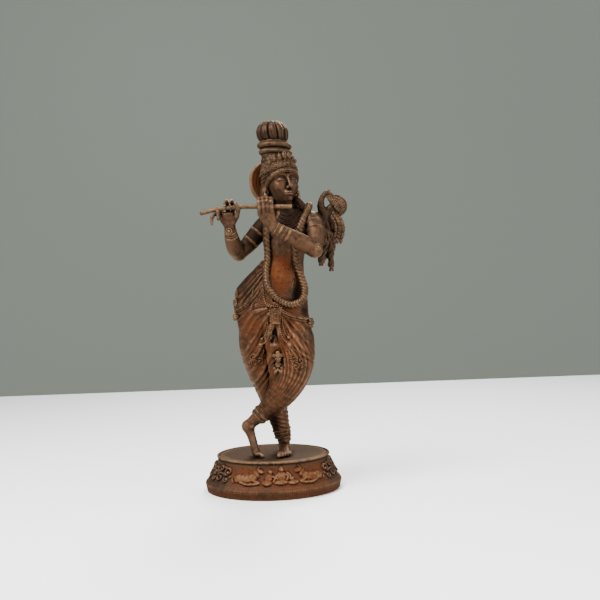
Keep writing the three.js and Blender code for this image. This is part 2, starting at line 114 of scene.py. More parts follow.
# The figure's units have x to its left hand, y to its back and z up.
# The upper arms and forearms, as rows of [x, y, z, half width, half depth]
LEFT_ARM = [
    [[112, 4, 704, 27, 27], [130, -16, 684, 30, 29], [138, -46, 650, 27, 26], [132, -92, 604, 22, 22]],
    [[132, -92, 604, 22, 21], [98, -102, 624, 25, 23], [58, -110, 646, 21, 19], [14, -118, 672, 15, 13]],
]
RIGHT_ARM = [
    [[-2, 10, 700, 25, 25], [-24, 10, 674, 28, 27], [-62, 6, 630, 25, 24], [-92, 0, 601, 21, 21]],
    [[-92, 0, 601, 21, 20], [-102, -26, 616, 24, 23], [-110, -58, 646, 21, 20], [-113, -84, 672, 14, 13]],
]
HEAD = [36, -14, 815]
HEAD_LEAN = math.radians(-7)
GAZE = math.radians(24)

# Forms that later pieces are seated on, by name
built = {}


# Lines and numbers


def spline(points, steps):
    """A smooth line through points, as steps spans from end to end."""
    points = np.asarray(points, float)
    points = np.vstack([2 * points[0] - points[1], points, 2 * points[-1] - points[-2]])
    spans = len(points) - 3
    t = np.linspace(0, spans, steps + 1)
    i = np.minimum(t.astype(int), spans - 1)
    f = (t - i)[:, None]
    a, b, c, d = points[i], points[i + 1], points[i + 2], points[i + 3]
    bend = (2 * a - 5 * b + 4 * c - d) * f**2 + (3 * b - a - 3 * c + d) * f**3
    return 0.5 * (2 * b + (c - a) * f + bend)


def evenly(line, pitch):
    """The same line with points about pitch apart."""
    line = np.asarray(line, float)
    run = np.concatenate([[0], np.cumsum(np.linalg.norm(np.diff(line, axis=0), axis=1))])
    count = max(2, int(round(run[-1] / pitch)) + 1)
    marks = np.linspace(0, run[-1], count)
    return np.stack([np.interp(marks, run, line[:, i]) for i in range(line.shape[1])], 1)


def ease(value):
    """0 up to 0, 1 from 1, and smooth between."""
    value = np.clip(value, 0, 1)
    return value * value * (3 - 2 * value)


def circle(count):
    """Evenly spread angles of one full turn."""
    return FULL_TURN * np.arange(count) / count


def unit(vectors):
    """The same directions with length 1."""
    vectors = np.asarray(vectors, float)
    return vectors / np.maximum(np.linalg.norm(vectors, axis=-1, keepdims=True), 1e-9)


def dot(a, b):
    """The product of two directions or fields of directions."""
    return a[0] * b[0] + a[1] * b[1] + a[2] * b[2]


def turned(points, angle, axis):
    """Points turned round a world axis, 0 to 2, through the origin."""
    turn = np.array(Matrix.Rotation(angle, 3, "XYZ"[axis]))
    return np.asarray(points, float) @ turn.T


def on_head(points):
    """Points of the head's own axes (across to its left, back, up) in the figure's units."""
    return turned(turned(points, GAZE, 2), HEAD_LEAN, 1) + np.array(HEAD)


# Forms: corners and faces. A face is a row of four corners, and a triangle's fourth is -1.


def joined(forms):
    """Several forms as one."""
    corners, faces, count = [], [], 0
    for form_corners, form_faces in forms:
        corners.append(form_corners)
        faces.append(np.where(form_faces >= 0, form_faces + count, -1))
        count += len(form_corners)
    return np.vstack(corners), np.vstack(faces)


def sweep(line, wide, deep=None, around=12, shape=None, front=FRONT, closed=False, flat_ends=False):
    """A tube along a line, with round ends unless it is closed or they are flat.

    shape(angle, share) pushes its wall in or out; angle 0 is at its front.
    """
    line = np.asarray(line, float)
    wide = np.broadcast_to(np.asarray(wide, float), len(line))
    deep = wide if deep is None else np.broadcast_to(np.asarray(deep, float), len(line))
    if closed:
        along = unit(np.roll(line, -1, 0) - np.roll(line, 1, 0))
    else:
        along = unit(np.gradient(line, axis=0))
    front = np.broadcast_to(np.asarray(front, float), line.shape)
    share = np.linspace(0, 1, len(line), endpoint=not closed)
    if not closed and not flat_ends:
        lifts = np.radians([90, 62, 36, 14])
        tip = 0.94 * np.sin(lifts)
        near = np.maximum(np.cos(lifts), 0.12)
        line = np.vstack([
            line[0] - along[0] * (tip * min(wide[0], deep[0]))[:, None],
            line,
            line[-1] + along[-1] * (tip[::-1] * min(wide[-1], deep[-1]))[:, None],
        ])
        wide, deep = (np.concatenate([size[0] * near, size, size[-1] * near[::-1]]) for size in (wide, deep))
        along, front = (np.pad(rows, ((4, 4), (0, 0)), "edge") for rows in (along, front))
        share = np.pad(share, 4, "edge")
    facing = unit(front - along * np.sum(front * along, 1)[:, None])
    side = np.cross(facing, along)
    angle = circle(around)
    reach = 1.0 if shape is None else shape(angle[None, :], share[:, None])
    out_side = wide[:, None] * reach * np.sin(angle)
    out_front = deep[:, None] * reach * np.cos(angle)
    corners = line[:, None] + side[:, None] * out_side[..., None] + facing[:, None] * out_front[..., None]
    return wall(corners, closed)


def wall(corners, closed=False):
    """A form over a grid of rings and corners; its first and last ring are capped unless it is closed."""
    rings, around = corners.shape[:2]
    grid = np.arange(rings * around).reshape(rings, around)
    if closed:
        grid = np.vstack([grid, grid[:1]])
    low, high = grid[:-1], grid[1:]
    faces = [np.stack([low, high, np.roll(high, -1, 1), np.roll(low, -1, 1)], -1).reshape(-1, 4)]
    points = [corners.reshape(-1, 3)]
    if not closed:
        none = np.full(around, -1)
        for middle, ring in enumerate((grid[0], grid[-1, ::-1]), rings * around):
            faces.append(np.stack([none + middle + 1, ring, np.roll(ring, -1), none], -1))
        points += [corners[0].mean(0, keepdims=True), corners[-1].mean(0, keepdims=True)]
    return np.vstack(points), np.vstack(faces)


def unit_bead():
    """A small round bead, a little flattened like a cast one."""
    made = bmesh.new()
    bmesh.ops.create_uvsphere(made, u_segments=7, v_segments=5, radius=1)
    corners = np.array([v.co for v in made.verts]) * [1, 1, 0.94]
    faces = np.array([([v.index for v in f.verts] + [-1])[:4] for f in made.faces])
    made.free()
    return corners, faces


def beads(places, radii):
    """A bead at each place."""
    corners, faces = unit_bead()
    radii = np.broadcast_to(np.asarray(radii, float), len(places))
    return joined([(corners * radius + place, faces) for place, radius in zip(places, radii)])


def rosette(centre, across, up, radius, petals, size):
    """A ring of beads in the plane of across and up."""
    places = [centre + across * radius * math.cos(a) + up * radius * math.sin(a) for a in circle(petals)]
    return beads(places, size)


def face_rows(faces):
    """The faces as lists of three or four corners."""
    return [row[:3] if row[3] < 0 else row for row in faces.tolist()]


def normals(form):
    """The outward direction at each corner of a form."""
    corners, faces = form
    a, b, c = corners[faces[:, 0]], corners[faces[:, 1]], corners[faces[:, 2]]
    d = np.where(faces[:, 3:] >= 0, corners[faces[:, 3]], a)
    across = np.cross(c - a, d - b)
    total = np.zeros_like(corners)
    for column in range(4):
        used = faces[:, column] >= 0
        for axis in range(3):
            total[:, axis] += np.bincount(faces[used, column], across[used, axis], len(corners))
    return unit(total)


def pushed(form, height):
    """A form whose surface is moved out by a height at each corner."""
    return form[0] + normals(form) * np.asarray(height)[:, None], form[1]


# Clay: forms that melt into each other, kept as distances on a grid


class Clay:
    """A block of space in the figure's units, with the distance to the form at each point of a grid."""

    def __init__(self, low, high, grain):
        self.low = np.array(low, float)
        self.grain = grain
        counts = np.ceil((np.array(high) - self.low) / grain).astype(int) + 1
        self.field = np.full(counts, FAR, np.float32)

    def window(self, low, high):
        """The slices of the grid between two corners, and the places of their points."""
        shape = self.field.shape
        first = np.clip(np.floor((np.asarray(low) - self.low) / self.grain).astype(int), 0, shape)
        last = np.clip(np.ceil((np.asarray(high) - self.low) / self.grain).astype(int) + 1, 0, shape)
        axes = [self.low[i] + self.grain * np.arange(first[i], last[i]) for i in range(3)]
        where = tuple(slice(a, b) for a, b in zip(first, last))
        return where, np.meshgrid(*(axis.astype(np.float32) for axis in axes), indexing="ij", sparse=True)

    def merge(self, where, distance, soft, cut):
        """Adds a form, or cuts it away, with a fillet of about soft."""
        old = -self.field[where] if cut else self.field[where]
        near = np.maximum(soft - np.abs(old - distance), 0)
        made = np.minimum(old, distance) - near * near / (4 * soft)
        self.field[where] = -made if cut else made

    def egg(self, centre, radii, soft=4, cut=False, lean=(0, 0, 0)):
        """An ellipsoid, leaned by degrees about x, y and z."""
        centre, radii = np.array(centre, float), np.array(radii, float)
        reach = radii.max() + MARGIN
        where, place = self.window(centre - reach, centre + reach)
        q = [place[i] - centre[i] for i in range(3)]
        turn = np.eye(3)
        for axis, angle in enumerate(lean):
            turn = np.array(Matrix.Rotation(math.radians(angle), 3, "XYZ"[axis])) @ turn
        own = [dot(turn[:, i], q) / radii[i] for i in range(3)]
        self.merge(where, rounded_distance(own, radii), soft, cut)

    def limb(self, rows, soft=4, steps=16, front=FRONT, cut=False):
        """A limb along a smooth path of [x, y, z, half width, half depth] with round ends."""
        path = spline([row if len(row) == 5 else [*row, row[3]] for row in rows], steps)
        centres, sizes = path[:, :3], np.maximum(path[:, 3:], 0.3)
        reach = sizes.max() + MARGIN
        whole, _ = self.window(centres.min(0) - reach, centres.max(0) + reach)
        distance = np.full([s.stop - s.start for s in whole], FAR, np.float32)
        for a, b, size_a, size_b in zip(centres, centres[1:], sizes, sizes[1:]):
            near = max(size_a.max(), size_b.max()) + MARGIN
            where, place = self.window(np.minimum(a, b) - near, np.maximum(a, b) + near)
            own = tuple(slice(w.start - s.start, w.stop - s.start) for w, s in zip(where, whole))
            found = span_distance(place, a, b, size_a, size_b, np.asarray(front, float))
            distance[own] = np.minimum(distance[own], found)
        self.merge(whole, distance, soft, cut)

    def tower(self, rows, soft=4):
        """An upright form from rows of [z, x, y, half width, half depth, tilt in degrees], lowest first."""
        table = spline([[*row, 0] if len(row) == 5 else row for row in rows], 10 * len(rows))
        bottom, top = table[0, 0], table[-1, 0]
        reach = table[:, 3].max() + MARGIN
        rise = reach * math.tan(math.radians(np.abs(table[:, 5]).max()))
        low = [table[:, 1].min() - reach, table[:, 2].min() - reach, bottom - MARGIN - rise]
        high = [table[:, 1].max() + reach, table[:, 2].max() + reach, top + MARGIN + rise]
        where, (x, y, z) = self.window(low, high)
        tilt = np.tan(np.radians(np.interp(z, table[:, 0], table[:, 5])))
        level = z + tilt * (x - np.interp(z, table[:, 0], table[:, 1]))
        middle_x, middle_y, wide, deep = (np.interp(level, table[:, 0], table[:, i]) for i in range(1, 5))
        across, ahead = (x - middle_x) / wide, (y - middle_y) / deep
        near = np.sqrt(across**2 + ahead**2)
        steep = np.sqrt((across / wide) ** 2 + (ahead / deep) ** 2)
        distance = near * (near - 1) / np.maximum(steep, 1e-4)
        distance = np.where(near < 0.05, -wide, distance)
        distance = np.maximum(distance, np.maximum(bottom - level, level - top))
        self.merge(where, distance.astype(np.float32), soft, False)

    def surface(self):
        """The form's skin: one corner in each cell that it crosses, joined into four-sided faces."""
        field, inside = self.field, self.field < 0
        cells = tuple(n - 1 for n in field.shape)
        steps = [(i, j, k) for i in (0, 1) for j in (0, 1) for k in (0, 1)]
        count = np.zeros(cells, np.uint8)
        for step in steps:
            count += inside[tuple(slice(s, s + n) for s, n in zip(step, cells))]
        crossed = (count > 0) & (count < 8)
        number = np.full(cells, -1, np.int64)
        number[crossed] = np.arange(int(crossed.sum()))
        cell = np.argwhere(crossed)
        total, hits = np.zeros((len(cell), 3)), np.zeros(len(cell))
        for start in steps:
            for axis in range(3):
                if start[axis]:
                    continue
                end = tuple(1 if i == axis else s for i, s in enumerate(start))
                low_value = field[tuple((cell + start).T)].astype(float)
                high_value = field[tuple((cell + end).T)].astype(float)
                cuts = (low_value < 0) != (high_value < 0)
                share = low_value[cuts] / (low_value[cuts] - high_value[cuts])
                found = cell[cuts] + np.array(start, float)
                found[:, axis] += share
                total[cuts] += found
                hits[cuts] += 1
        corners = self.low + self.grain * total / hits[:, None]
        faces = []
        for axis in range(3):
            u, v = np.roll(np.eye(3, dtype=int), -1 - axis, 0)[:2]
            near = tuple(slice(0, -1) if i == axis else slice(1, -1) for i in range(3))
            far = tuple(slice(1, None) if i == axis else slice(1, -1) for i in range(3))
            for goes_out in (True, False):
                edge = (inside[near] & ~inside[far]) if goes_out else (~inside[near] & inside[far])
                at = np.argwhere(edge) + u + v
                ring = [at - u - v, at - v, at, at - u]
                ring = ring if goes_out else ring[::-1]
                faces.append(np.stack([number[tuple(r.T)] for r in ring], 1))
        return corners, np.vstack(faces)


def rounded_distance(own, radii):
    """About how far a point is from an ellipsoid, from its place in shares of the three half sizes."""
    near = np.sqrt(own[0] ** 2 + own[1] ** 2 + own[2] ** 2)
    steep = np.sqrt((own[0] / radii[0]) ** 2 + (own[1] / radii[1]) ** 2 + (own[2] / radii[2]) ** 2)
    least = np.minimum(np.minimum(radii[0], radii[1]), radii[2])
    return (near - 1) * (near + 1e-4) / (steep + 1e-4 / least)


def span_distance(place, a, b, size_a, size_b, front):
    """About how far a point is from one straight span of a limb."""
    length = max(np.linalg.norm(b - a), 1e-6)
    along = (b - a) / length
    facing = unit(front - along * (front @ along))
    side = np.cross(facing, along)
    q = [place[i] - a[i] for i in range(3)]
    ahead = dot(q, along)
    t = np.clip(ahead / length, 0, 1)
    wide = size_a[0] + (size_b[0] - size_a[0]) * t
    deep = size_a[1] + (size_b[1] - size_a[1]) * t
    least = np.minimum(wide, deep)
    own = [dot(q, side) / wide, dot(q, facing) / deep, (ahead - t * length) / least]
    return rounded_distance(own, (wide, deep, least)).astype(np.float32)


class Skin:
    """The surface of built forms, so that ornaments can be seated on it."""

    def __init__(self, *names):
        corners, faces = joined([built[name] for name in names])
        self.tree = BVHTree.FromPolygons(corners.tolist(), face_rows(faces))

    def cast(self, starts, headings, lift):
        """Where rays meet the surface, moved out by lift; a ray that misses takes its neighbour's depth."""
        found, depth = [], None
        for start, heading in zip(starts, np.broadcast_to(unit(headings), np.shape(starts))):
            hit = self.tree.ray_cast(Vector(start), Vector(heading))
            depth = hit[3] if hit[0] is not None else depth
            if depth is None:
                raise RuntimeError("an ornament starts off the figure")
            found.append(np.asarray(start) + heading * (depth - lift))
        return np.array(found)

    def front(self, places, lift=0):
        """Places of [x, z] seen from the front, on the surface."""
        starts = [[x, -300, z] for x, z in places]
        return self.cast(starts, -FRONT, lift)

    def round(self, middle, angles, heights, lift=0):
        """A line round an upright middle [x, y]; angle 0 is at the front and grows to the figure's left."""
        out = np.stack([np.sin(angles), -np.cos(angles), np.zeros_like(angles)], 1)
        base = np.array([(*middle, height) for height in heights])
        return self.cast(base + 300 * out, -out, lift), out


# Carved cloth


def span_offsets(line, x, z):
    """For each span of an open line, how far points are from it and the side they are on."""
    for a, b in zip(line, line[1:]):
        along = b - a
        length = max(np.hypot(*along), 1e-6)
        along = along / length
        own_x, own_z = x - a[0], z - a[1]
        t = np.clip(own_x * along[0] + own_z * along[1], 0, length)
        far = np.hypot(own_x - t * along[0], own_z - t * along[1])
        yield far, np.sign(along[0] * own_z - along[1] * own_x)


def offset_from(line, x, z):
    """How far points are from an open line seen from the front, with a sign for the side they are on."""
    best, signed = np.full(len(x), 1e9), np.zeros(len(x))
    for far, side in span_offsets(line, x, z):
        closer = far < best - 1e-6
        best[closer], signed[closer] = far[closer], (far * side)[closer]
    return signed


def among(guides, x, z):
    """Where points are in a fan of lines, 0 on the first, 1 on the second and so on, and how far inside."""
    lines = [spline(guide, 14) for guide in guides]
    middles = [line[7] for line in lines]
    offsets = []
    for i, line in enumerate(lines):
        last = i == len(lines) - 1
        other = middles[i - 1] if last else middles[i + 1]
        sign = np.sign(offset_from(line, other[:1], other[1:]))[0]
        offsets.append(offset_from(line, x, z) * (-sign if last else sign))
    place = np.zeros(len(x))
    for a, b in zip(offsets, offsets[1:]):
        gap = a - b
        place += np.clip(np.where(gap > 0.1, a / np.maximum(gap, 0.1), a > 0), 0, 1)
    return place, ease(offsets[0] / 8) * ease(-offsets[-1] / 8)


def ridges(place, count):
    """Rounded ridges, count of them from line to line."""
    return 0.5 - 0.5 * np.cos(FULL_TURN * place * count)


def laps(place):
    """Layers of cloth that each start with a corded lip on a line and sink towards the next one."""
    share = place % 1
    near = np.minimum(share, 1 - share)
    return 0.75 * np.exp(-((near / 0.11) ** 2)) + 0.45 * ease(share / 0.14) * (1 - share)


# The figure's parts in clay


THIGH_RIGHT = [
    [[-6, 452], [-45, 450], [-80, 434], [-112, 410]],
    [[-12, 436], [-50, 427], [-67, 411], [-84, 386], [-102, 350]],
    [[-8, 420], [-27, 394], [-42, 366], [-61, 337], [-86, 300]],
    [[-4, 384], [-20, 352], [-38, 320], [-58, 288], [-80, 262]],
    [[4, 330], [-8, 292], [-24, 258], [-44, 226], [-62, 205]],
    [[8, 264], [1, 235], [-17, 206], [-33, 177], [-52, 158]],
]
THIGH_LEFT = [
    [[24, 446], [57, 434], [86, 420], [112, 402], [132, 384]],
    [[34, 432], [62, 410], [90, 384], [114, 356], [134, 336]],
    [[32, 412], [52, 379], [74, 346], [98, 318], [130, 296]],
    [[30, 370], [44, 336], [62, 306], [88, 282], [130, 262]],
]
SHIN_FAN = [
    [[8, 350], [20, 300], [22, 254], [18, 225], [2, 196], [-24, 164], [-58, 132]],
    [[34, 350], [48, 300], [54, 262], [46, 226], [22, 190], [-8, 156], [-46, 120]],
    [[70, 345], [88, 302], [94, 266], [80, 226], [50, 188], [16, 152], [-30, 112]],
    [[112, 340], [128, 300], [130, 262], [112, 214], [76, 168], [36, 132], [-16, 96]],
]
HIP_SASH = [
    [[-2, 572], [-30, 566], [-62, 548], [-100, 510]],
    [[-8, 552], [-34, 540], [-62, 512], [-98, 470]],
    [[-10, 528], [-24, 506], [-42, 482], [-70, 452]],
    [[-12, 500], [-18, 480], [-26, 462], [-40, 446]],
]


def cloth_height(corners, depth):
    """How far the folds of the pleated cloth stand out at each corner."""
    x, z = corners[:, 0], corners[:, 2] - 0.42 * np.maximum(corners[:, 1] + 40, 0)
    plain_z = corners[:, 2]
    front = ease((-corners[:, 1] + 30) / 60)
    height = np.zeros(len(x))
    for guides, strength, lips, fine, count in (
        (THIGH_RIGHT, 1.0, 1.0, 0.28, 3),
        (THIGH_LEFT, 1.0, 0.95, 0.3, 3),
        (SHIN_FAN, 0.9, 0.2, 0.5, 3),
        (HIP_SASH, 0.9, 0.4, 0.5, 3),
    ):
        place, inside = among(guides, x, z)
        form = lips * laps(place) + fine * ridges(place, count) - 0.3
        fade = 1 - 0.7 * ease((-x - 0.2 * plain_z - 6) / 18) * ease((430 - plain_z) / 60)
        fade *= 1 - 0.6 * ease((x - 102) / 22)
        if guides is SHIN_FAN:
            fade *= (1 - 0.4 * ease((z - 250) / 70)) * (0.16 + 0.84 * ease((plain_z - 145) / 90))
        height += strength * depth * inside * form * fade
    # Creases that run round the standing leg
    wrap = 0.5 + 0.5 * np.cos((plain_z + 0.35 * x - 0.2 * corners[:, 1]) / 2.1)
    shin = ease((x + 34) / 10) * ease((corners[:, 1] + 44) / 12) * ease((180 - plain_z) / 40)
    height += 0.26 * depth * shin * (wrap - 0.4)
    # Behind, the cloth hangs in long pleats that swing to the standing leg
    angle = np.arctan2(x - 10 - 0.12 * (plain_z - 300), -(corners[:, 1]))
    swing = angle * 11 + 0.9 * np.sin(plain_z / 62) + 0.016 * (plain_z - 300)
    behind = 0.5 + 0.5 * np.cos(swing)
    height += (1 - front) * (1 - shin) * 0.7 * depth * (behind**1.5 - 0.4) * ease((plain_z - 90) / 60)
    return height


CLOTH_EDGE = [
    (-3.15, 520), (-2.2, 545), (-1.6, 580), (-0.8, 580), (-0.5, 560), (-0.32, 500), (-0.2, 456), (0.5, 448),
    (1.0, 462), (1.4, 500), (2.2, 516), (3.15, 520),
]


def cloth_top(x, y):
    """The height where the cloth ends, round the hips."""
    angles, heights = zip(*CLOTH_EDGE)
    return np.interp(np.arctan2(x - 20, -y), angles, heights)


def model_cloth(grain, depth):
    clay = Clay([-122, -122, 52], [146, 92, 582], grain)
    clay.tower([
        [300, 10, -4, 56, 36, 8],
        [330, 8, -2, 84, 50, 10],
        [362, 6, 0, 106, 61, 12],
        [405, 3, 0, 112, 68, 15],
        [440, 3, 0, 110, 69, 16],
        [488, 9, 0, 103, 65, 10],
        [543, 30, 0, 78, 52, 5],
        [580, 43, 0, 62, 47, 0],
    ], 6)
    standing = [
        [-42, 4, 400, 46, 46],
        [-42, 5, 340, 55, 56],
        [-29, 6, 268, 51, 52],
        [-10, 9, 200, 42, 44],
        [8, 12, 140, 36, 37],
        [20, 14, 92, 29, 31],
        [27, 16, 62, 24, 26],
    ]
    crossing = [
        [58, -4, 400, 46, 46],
        [70, -22, 345, 57, 58],
        [68, -52, 270, 56, 52],
        [42, -66, 208, 48, 42],
        [6, -62, 160, 36, 33],
        [-24, -55, 130, 27, 26],
        [-40, -52, 116, 22, 22],
    ]
    clay.limb(standing, 16, 24)
    clay.limb(crossing, 12, 24)
    lap = [[15, -58, 420, 34, 14], [16, -66, 340, 34, 16], [14, -60, 260, 24, 14], [5, -56, 205, 12, 10]]
    clay.limb(lap, 10)
    # The deep fold under the pendant, between the legs
    fold = [[12, -92, 290, 7, 14], [4, -92, 246, 7, 16], [-14, -86, 208, 6, 14], [-36, -78, 172, 5, 10]]
    clay.limb(fold, 5, cut=True)
    # The dark hollows under the plaque and beside the drops
    clay.limb([[12, -84, 388, 3, 10], [11, -83, 364, 8, 13], [10, -84, 338, 17, 11]], 6, cut=True)
    clay.limb([[17, -96, 312, 9, 12], [19, -98, 286, 12, 12], [18, -96, 258, 9, 10]], 4, cut=True)
    clay.egg([92, -50, 470], [14, 16, 16], 8, cut=True)
    # Its upper edge
    where, (x, y, z) = clay.window(clay.low, clay.low + 999)
    edge = (cloth_top(x, y) - z).astype(np.float32)
    clay.merge(where, edge, 2, True)
    form = clay.surface()
    return pushed(form, cloth_height(form[0], depth))


def model_torso(grain):
    clay = Clay([-60, -90, 424], [176, 86, 792], grain)
    clay.tower([
        [430, 3, 0, 100, 60, 14],
        [488, 9, 0, 96, 60, 9],
        [520, 20, 0, 84, 54, 6],
        [548, 32, 0, 71, 47, 3],
        [578, 43, 0, 60, 44, 0],
        [612, 48, 1, 63, 46, 0],
        [655, 54, 2, 78, 49, 0],
        [688, 57, 3, 81, 48, 0],
        [712, 56, 4, 62, 36, 0],
        [728, 53, 2, 38, 29, 0],
    ], 8)
    neck = [[55, 2, 690, 30, 28], [52, -2, 726, 27, 26], [46, -10, 756, 25, 25], [42, -14, 788, 26, 26]]
    clay.limb(neck, 12)
    # Shoulders, chest and ribs
    clay.limb([[118, 4, 700, 27, 26], [88, 2, 712, 20, 20], [56, 2, 716, 16, 18]], 14, 8)
    clay.limb([[-4, 10, 696, 24, 24], [20, 6, 708, 18, 18], [50, 4, 714, 14, 16]], 14, 8)
    clay.egg([28, -34, 668], [29, 17, 22], 12)
    clay.egg([82, -33, 665], [29, 17, 22], 12)
    clay.egg([36, -28, 618], [30, 18, 30], 14)
    clay.egg([64, -27, 618], [28, 18, 30], 14)
    # A soft belly with its navel
    clay.egg([36, -32, 522], [40, 27, 46], 16)
    clay.egg([24, -66, 524], [4, 8, 5], 5, cut=True)
    groove = [[54, -56, 690, 2, 5], [50, -54, 640, 2, 5], [42, -60, 590, 2, 4], [30, -64, 546, 2, 3]]
    clay.limb(groove, 9, cut=True)
    # Shoulder blades and the groove of the back
    clay.egg([24, 40, 672], [24, 14, 30], 12, lean=(0, 8, 0))
    clay.egg([90, 40, 672], [24, 14, 30], 12, lean=(0, -8, 0))
    spine = [[56, 56, 700, 4, 6], [54, 54, 640, 4, 6], [44, 50, 580, 4, 6], [26, 58, 520, 4, 6]]
    clay.limb(spine, 14, cut=True)
    return clay.surface()


def model_feet(grain):
    clay = Clay([-112, -112, 0], [82, 58, 172], grain)
    # The standing ankle and foot, flat on the plinth
    clay.limb([[22, 14, 96, 21, 22], [28, 17, 58, 19, 20], [32, 18, 28, 18, 20], [34, 16, 10, 17, 18]], 6, 10)
    flat_foot = [[36, 26, 10, 15, 10], [35, 0, 14, 16, 14], [33, -34, 9, 18, 10], [31, -60, 6, 20, 7]]
    clay.limb(flat_foot, 8, 10, UP)
    clay.egg([20, 17, 34], [6, 7, 8], 5)
    clay.egg([49, 18, 36], [6, 7, 8], 5)
    for i, (radius, long) in enumerate([(7, 26), (5.4, 24), (5, 21), (4.6, 17), (4.2, 13)]):
        x, y = 18 + 8.3 * i, -60 + 3.0 * i
        toe = [[x, y, 6, radius], [x - 1, y - 0.6 * long, 6.5, radius], [x - 1.5, y - long, 4.5, radius]]
        clay.limb(toe, 2.5, 6)
        clay.egg([x - 1.5, y - long - 1, 7 + 0.2 * radius], [0.6 * radius, 3, 1.6], 0.8)
    # The raised ankle and foot, standing on its toes
    ankle = [[-24, -55, 132, 24, 23], [-44, -51, 114, 20, 20], [-62, -47, 99, 17, 17], [-72, -45, 90, 17, 16]]
    clay.limb(ankle, 6, 12)
    clay.egg([-78, -43, 87], [15, 15, 15], 7)
    clay.egg([-62, -61, 88], [6, 6, 7], 5)
    instep = [[-72, -46, 82, 17, 16], [-65, -48, 60, 13, 14], [-58, -52, 36, 12, 16], [-52, -56, 14, 12, 19]]
    clay.limb(instep, 8, 14)
    clay.egg([-50, -58, 9], [12, 20, 9], 6)
    for i, (radius, long) in enumerate([(6.2, 11), (5.2, 11), (4.8, 10), (4.4, 8), (4, 6)]):
        x, y = -44 - 2.4 * i, -72 + 8.6 * i
        toe = [[x - 6, y, 8, radius], [x + 0.5 * long, y - 3, 7.5, radius], [x + long, y - 6, 4.5, radius]]
        clay.limb(toe, 2, 6, UP)
        clay.egg([x + long + 1, y - 6, 7], [2.4, 0.5 * radius, 1.4], 0.8)
    # Soles are flat
    where, (x, y, z) = clay.window([-200, -200, -20], [200, 200, 30])
    clay.merge(where, (z - 0.4 + 0 * x * y).astype(np.float32), 0.6, True)
    return clay.surface()


def model_arms(grain):
    left = Clay([-34, -152, 572], [184, 44, 770], grain)
    left.limb(LEFT_ARM[0], 5, 20)
    left.egg([122, -2, 700], [28, 27, 24], 10)
    left.limb(LEFT_ARM[1], 7, 20)
    left.egg([134, -98, 602], [18, 17, 17], 8)
    right = Clay([-180, -140, 566], [30, 42, 764], grain)
    right.limb(RIGHT_ARM[0], 5, 20)
    right.limb(RIGHT_ARM[1], 7, 20)
    right.egg([-93, 4, 598], [17, 17, 17], 8)
    model_left_hand(left)
    model_right_hand(right)
    return left.surface(), right.surface()


def finger(clay, points, radius):
    """A finger with its knuckles and a slim tip."""
    clay.limb([[*point, radius * (1 - 0.1 * i)] for i, point in enumerate(points)], 2.2, 12)
    for point in points[1:-1]:
        clay.egg(point, [radius * 1.04] * 3, 2)


def model_left_hand(clay):
    """The left hand comes up in front of the chest, and its fingers close over the flute."""
    palm = [[14, -118, 670, 15, 12], [6, -119, 684, 18, 12], [-3, -118, 700, 23, 12], [-7, -116, 716, 24, 11]]
    clay.limb(palm, 5, 14)
    for i in range(4):
        x = 10 - 11.6 * i
        bend = 4 * math.sin(math.pi * (i + 0.5) / 4)
        points = [
            [x - 1, -119, 706], [x - 2, -128, 724 + bend], [x - 3, -127, 740 + bend],
            [x - 3, -114, 750 + bend], [x - 2, -104, 742],
        ]
        finger(clay, points, 7.2 - 0.3 * i)
    finger(clay, [[18, -113, 692], [26, -108, 712], [21, -104, 730]], 7)


def model_right_hand(clay):
    """The right hand turns its palm to the front under the flute, with the last fingers hanging free."""
    clay.limb([
        [-113, -84, 670, 15, 12], [-115, -89, 684, 18, 12],
        [-119, -92, 698, 23, 11], [-121, -94, 710, 23, 10],
    ], 5, 14)
    clay.egg([-106, -95, 694], [9, 9, 14], 5, lean=(0, -18, 0))
    finger(clay, [[-104, -92, 686], [-93, -100, 704], [-88, -108, 724], [-95, -112, 740]], 7.4)
    finger(clay, [[-107, -94, 706], [-103, -90, 728], [-107, -97, 747], [-113, -112, 746]], 6.6)
    finger(clay, [[-119, -94, 708], [-118, -90, 731], [-122, -99, 748], [-127, -113, 742]], 6.6)
    finger(clay, [[-130, -95, 706], [-139, -98, 724], [-146, -108, 718], [-145, -114, 696]], 6.2)
    finger(clay, [[-135, -96, 697], [-150, -100, 712], [-162, -108, 704], [-164, -112, 682]], 5.8)


# The head, in its own axes: across to its left, back and up from its middle


# Brow, upper lid, lower lid, slit and crease: fillet, whether it is cut, rows of [x, y, z, half width]
EYE = (
    (7, False, [34, -38, 9, 2], [26, -46, 14, 2.6], [14, -51.5, 14, 2.8], [5, -53, 9, 2.4]),
    (2.4, False, [29.5, -44, -3, 1.2], [24, -50, -3.4, 1.5], [17, -52.8, -4, 1.6], [9, -50.4, -2.4, 1.2]),
    (2.4, False, [28, -44.5, -8, 1.1], [22, -49, -10, 1.3], [15, -50.4, -9.6, 1.3], [10, -50, -7, 1]),
    (1.2, True, [29, -45.4, -4.8, 0.8], [24, -51, -6, 1], [17, -53.4, -6.6, 1], [9.5, -51.4, -4.4, 0.8]),
    (2, True, [30, -43.5, 1, 0.9], [24, -49.5, 5, 1], [16, -52.2, 6, 1], [9, -51, 3, 0.8]),
)


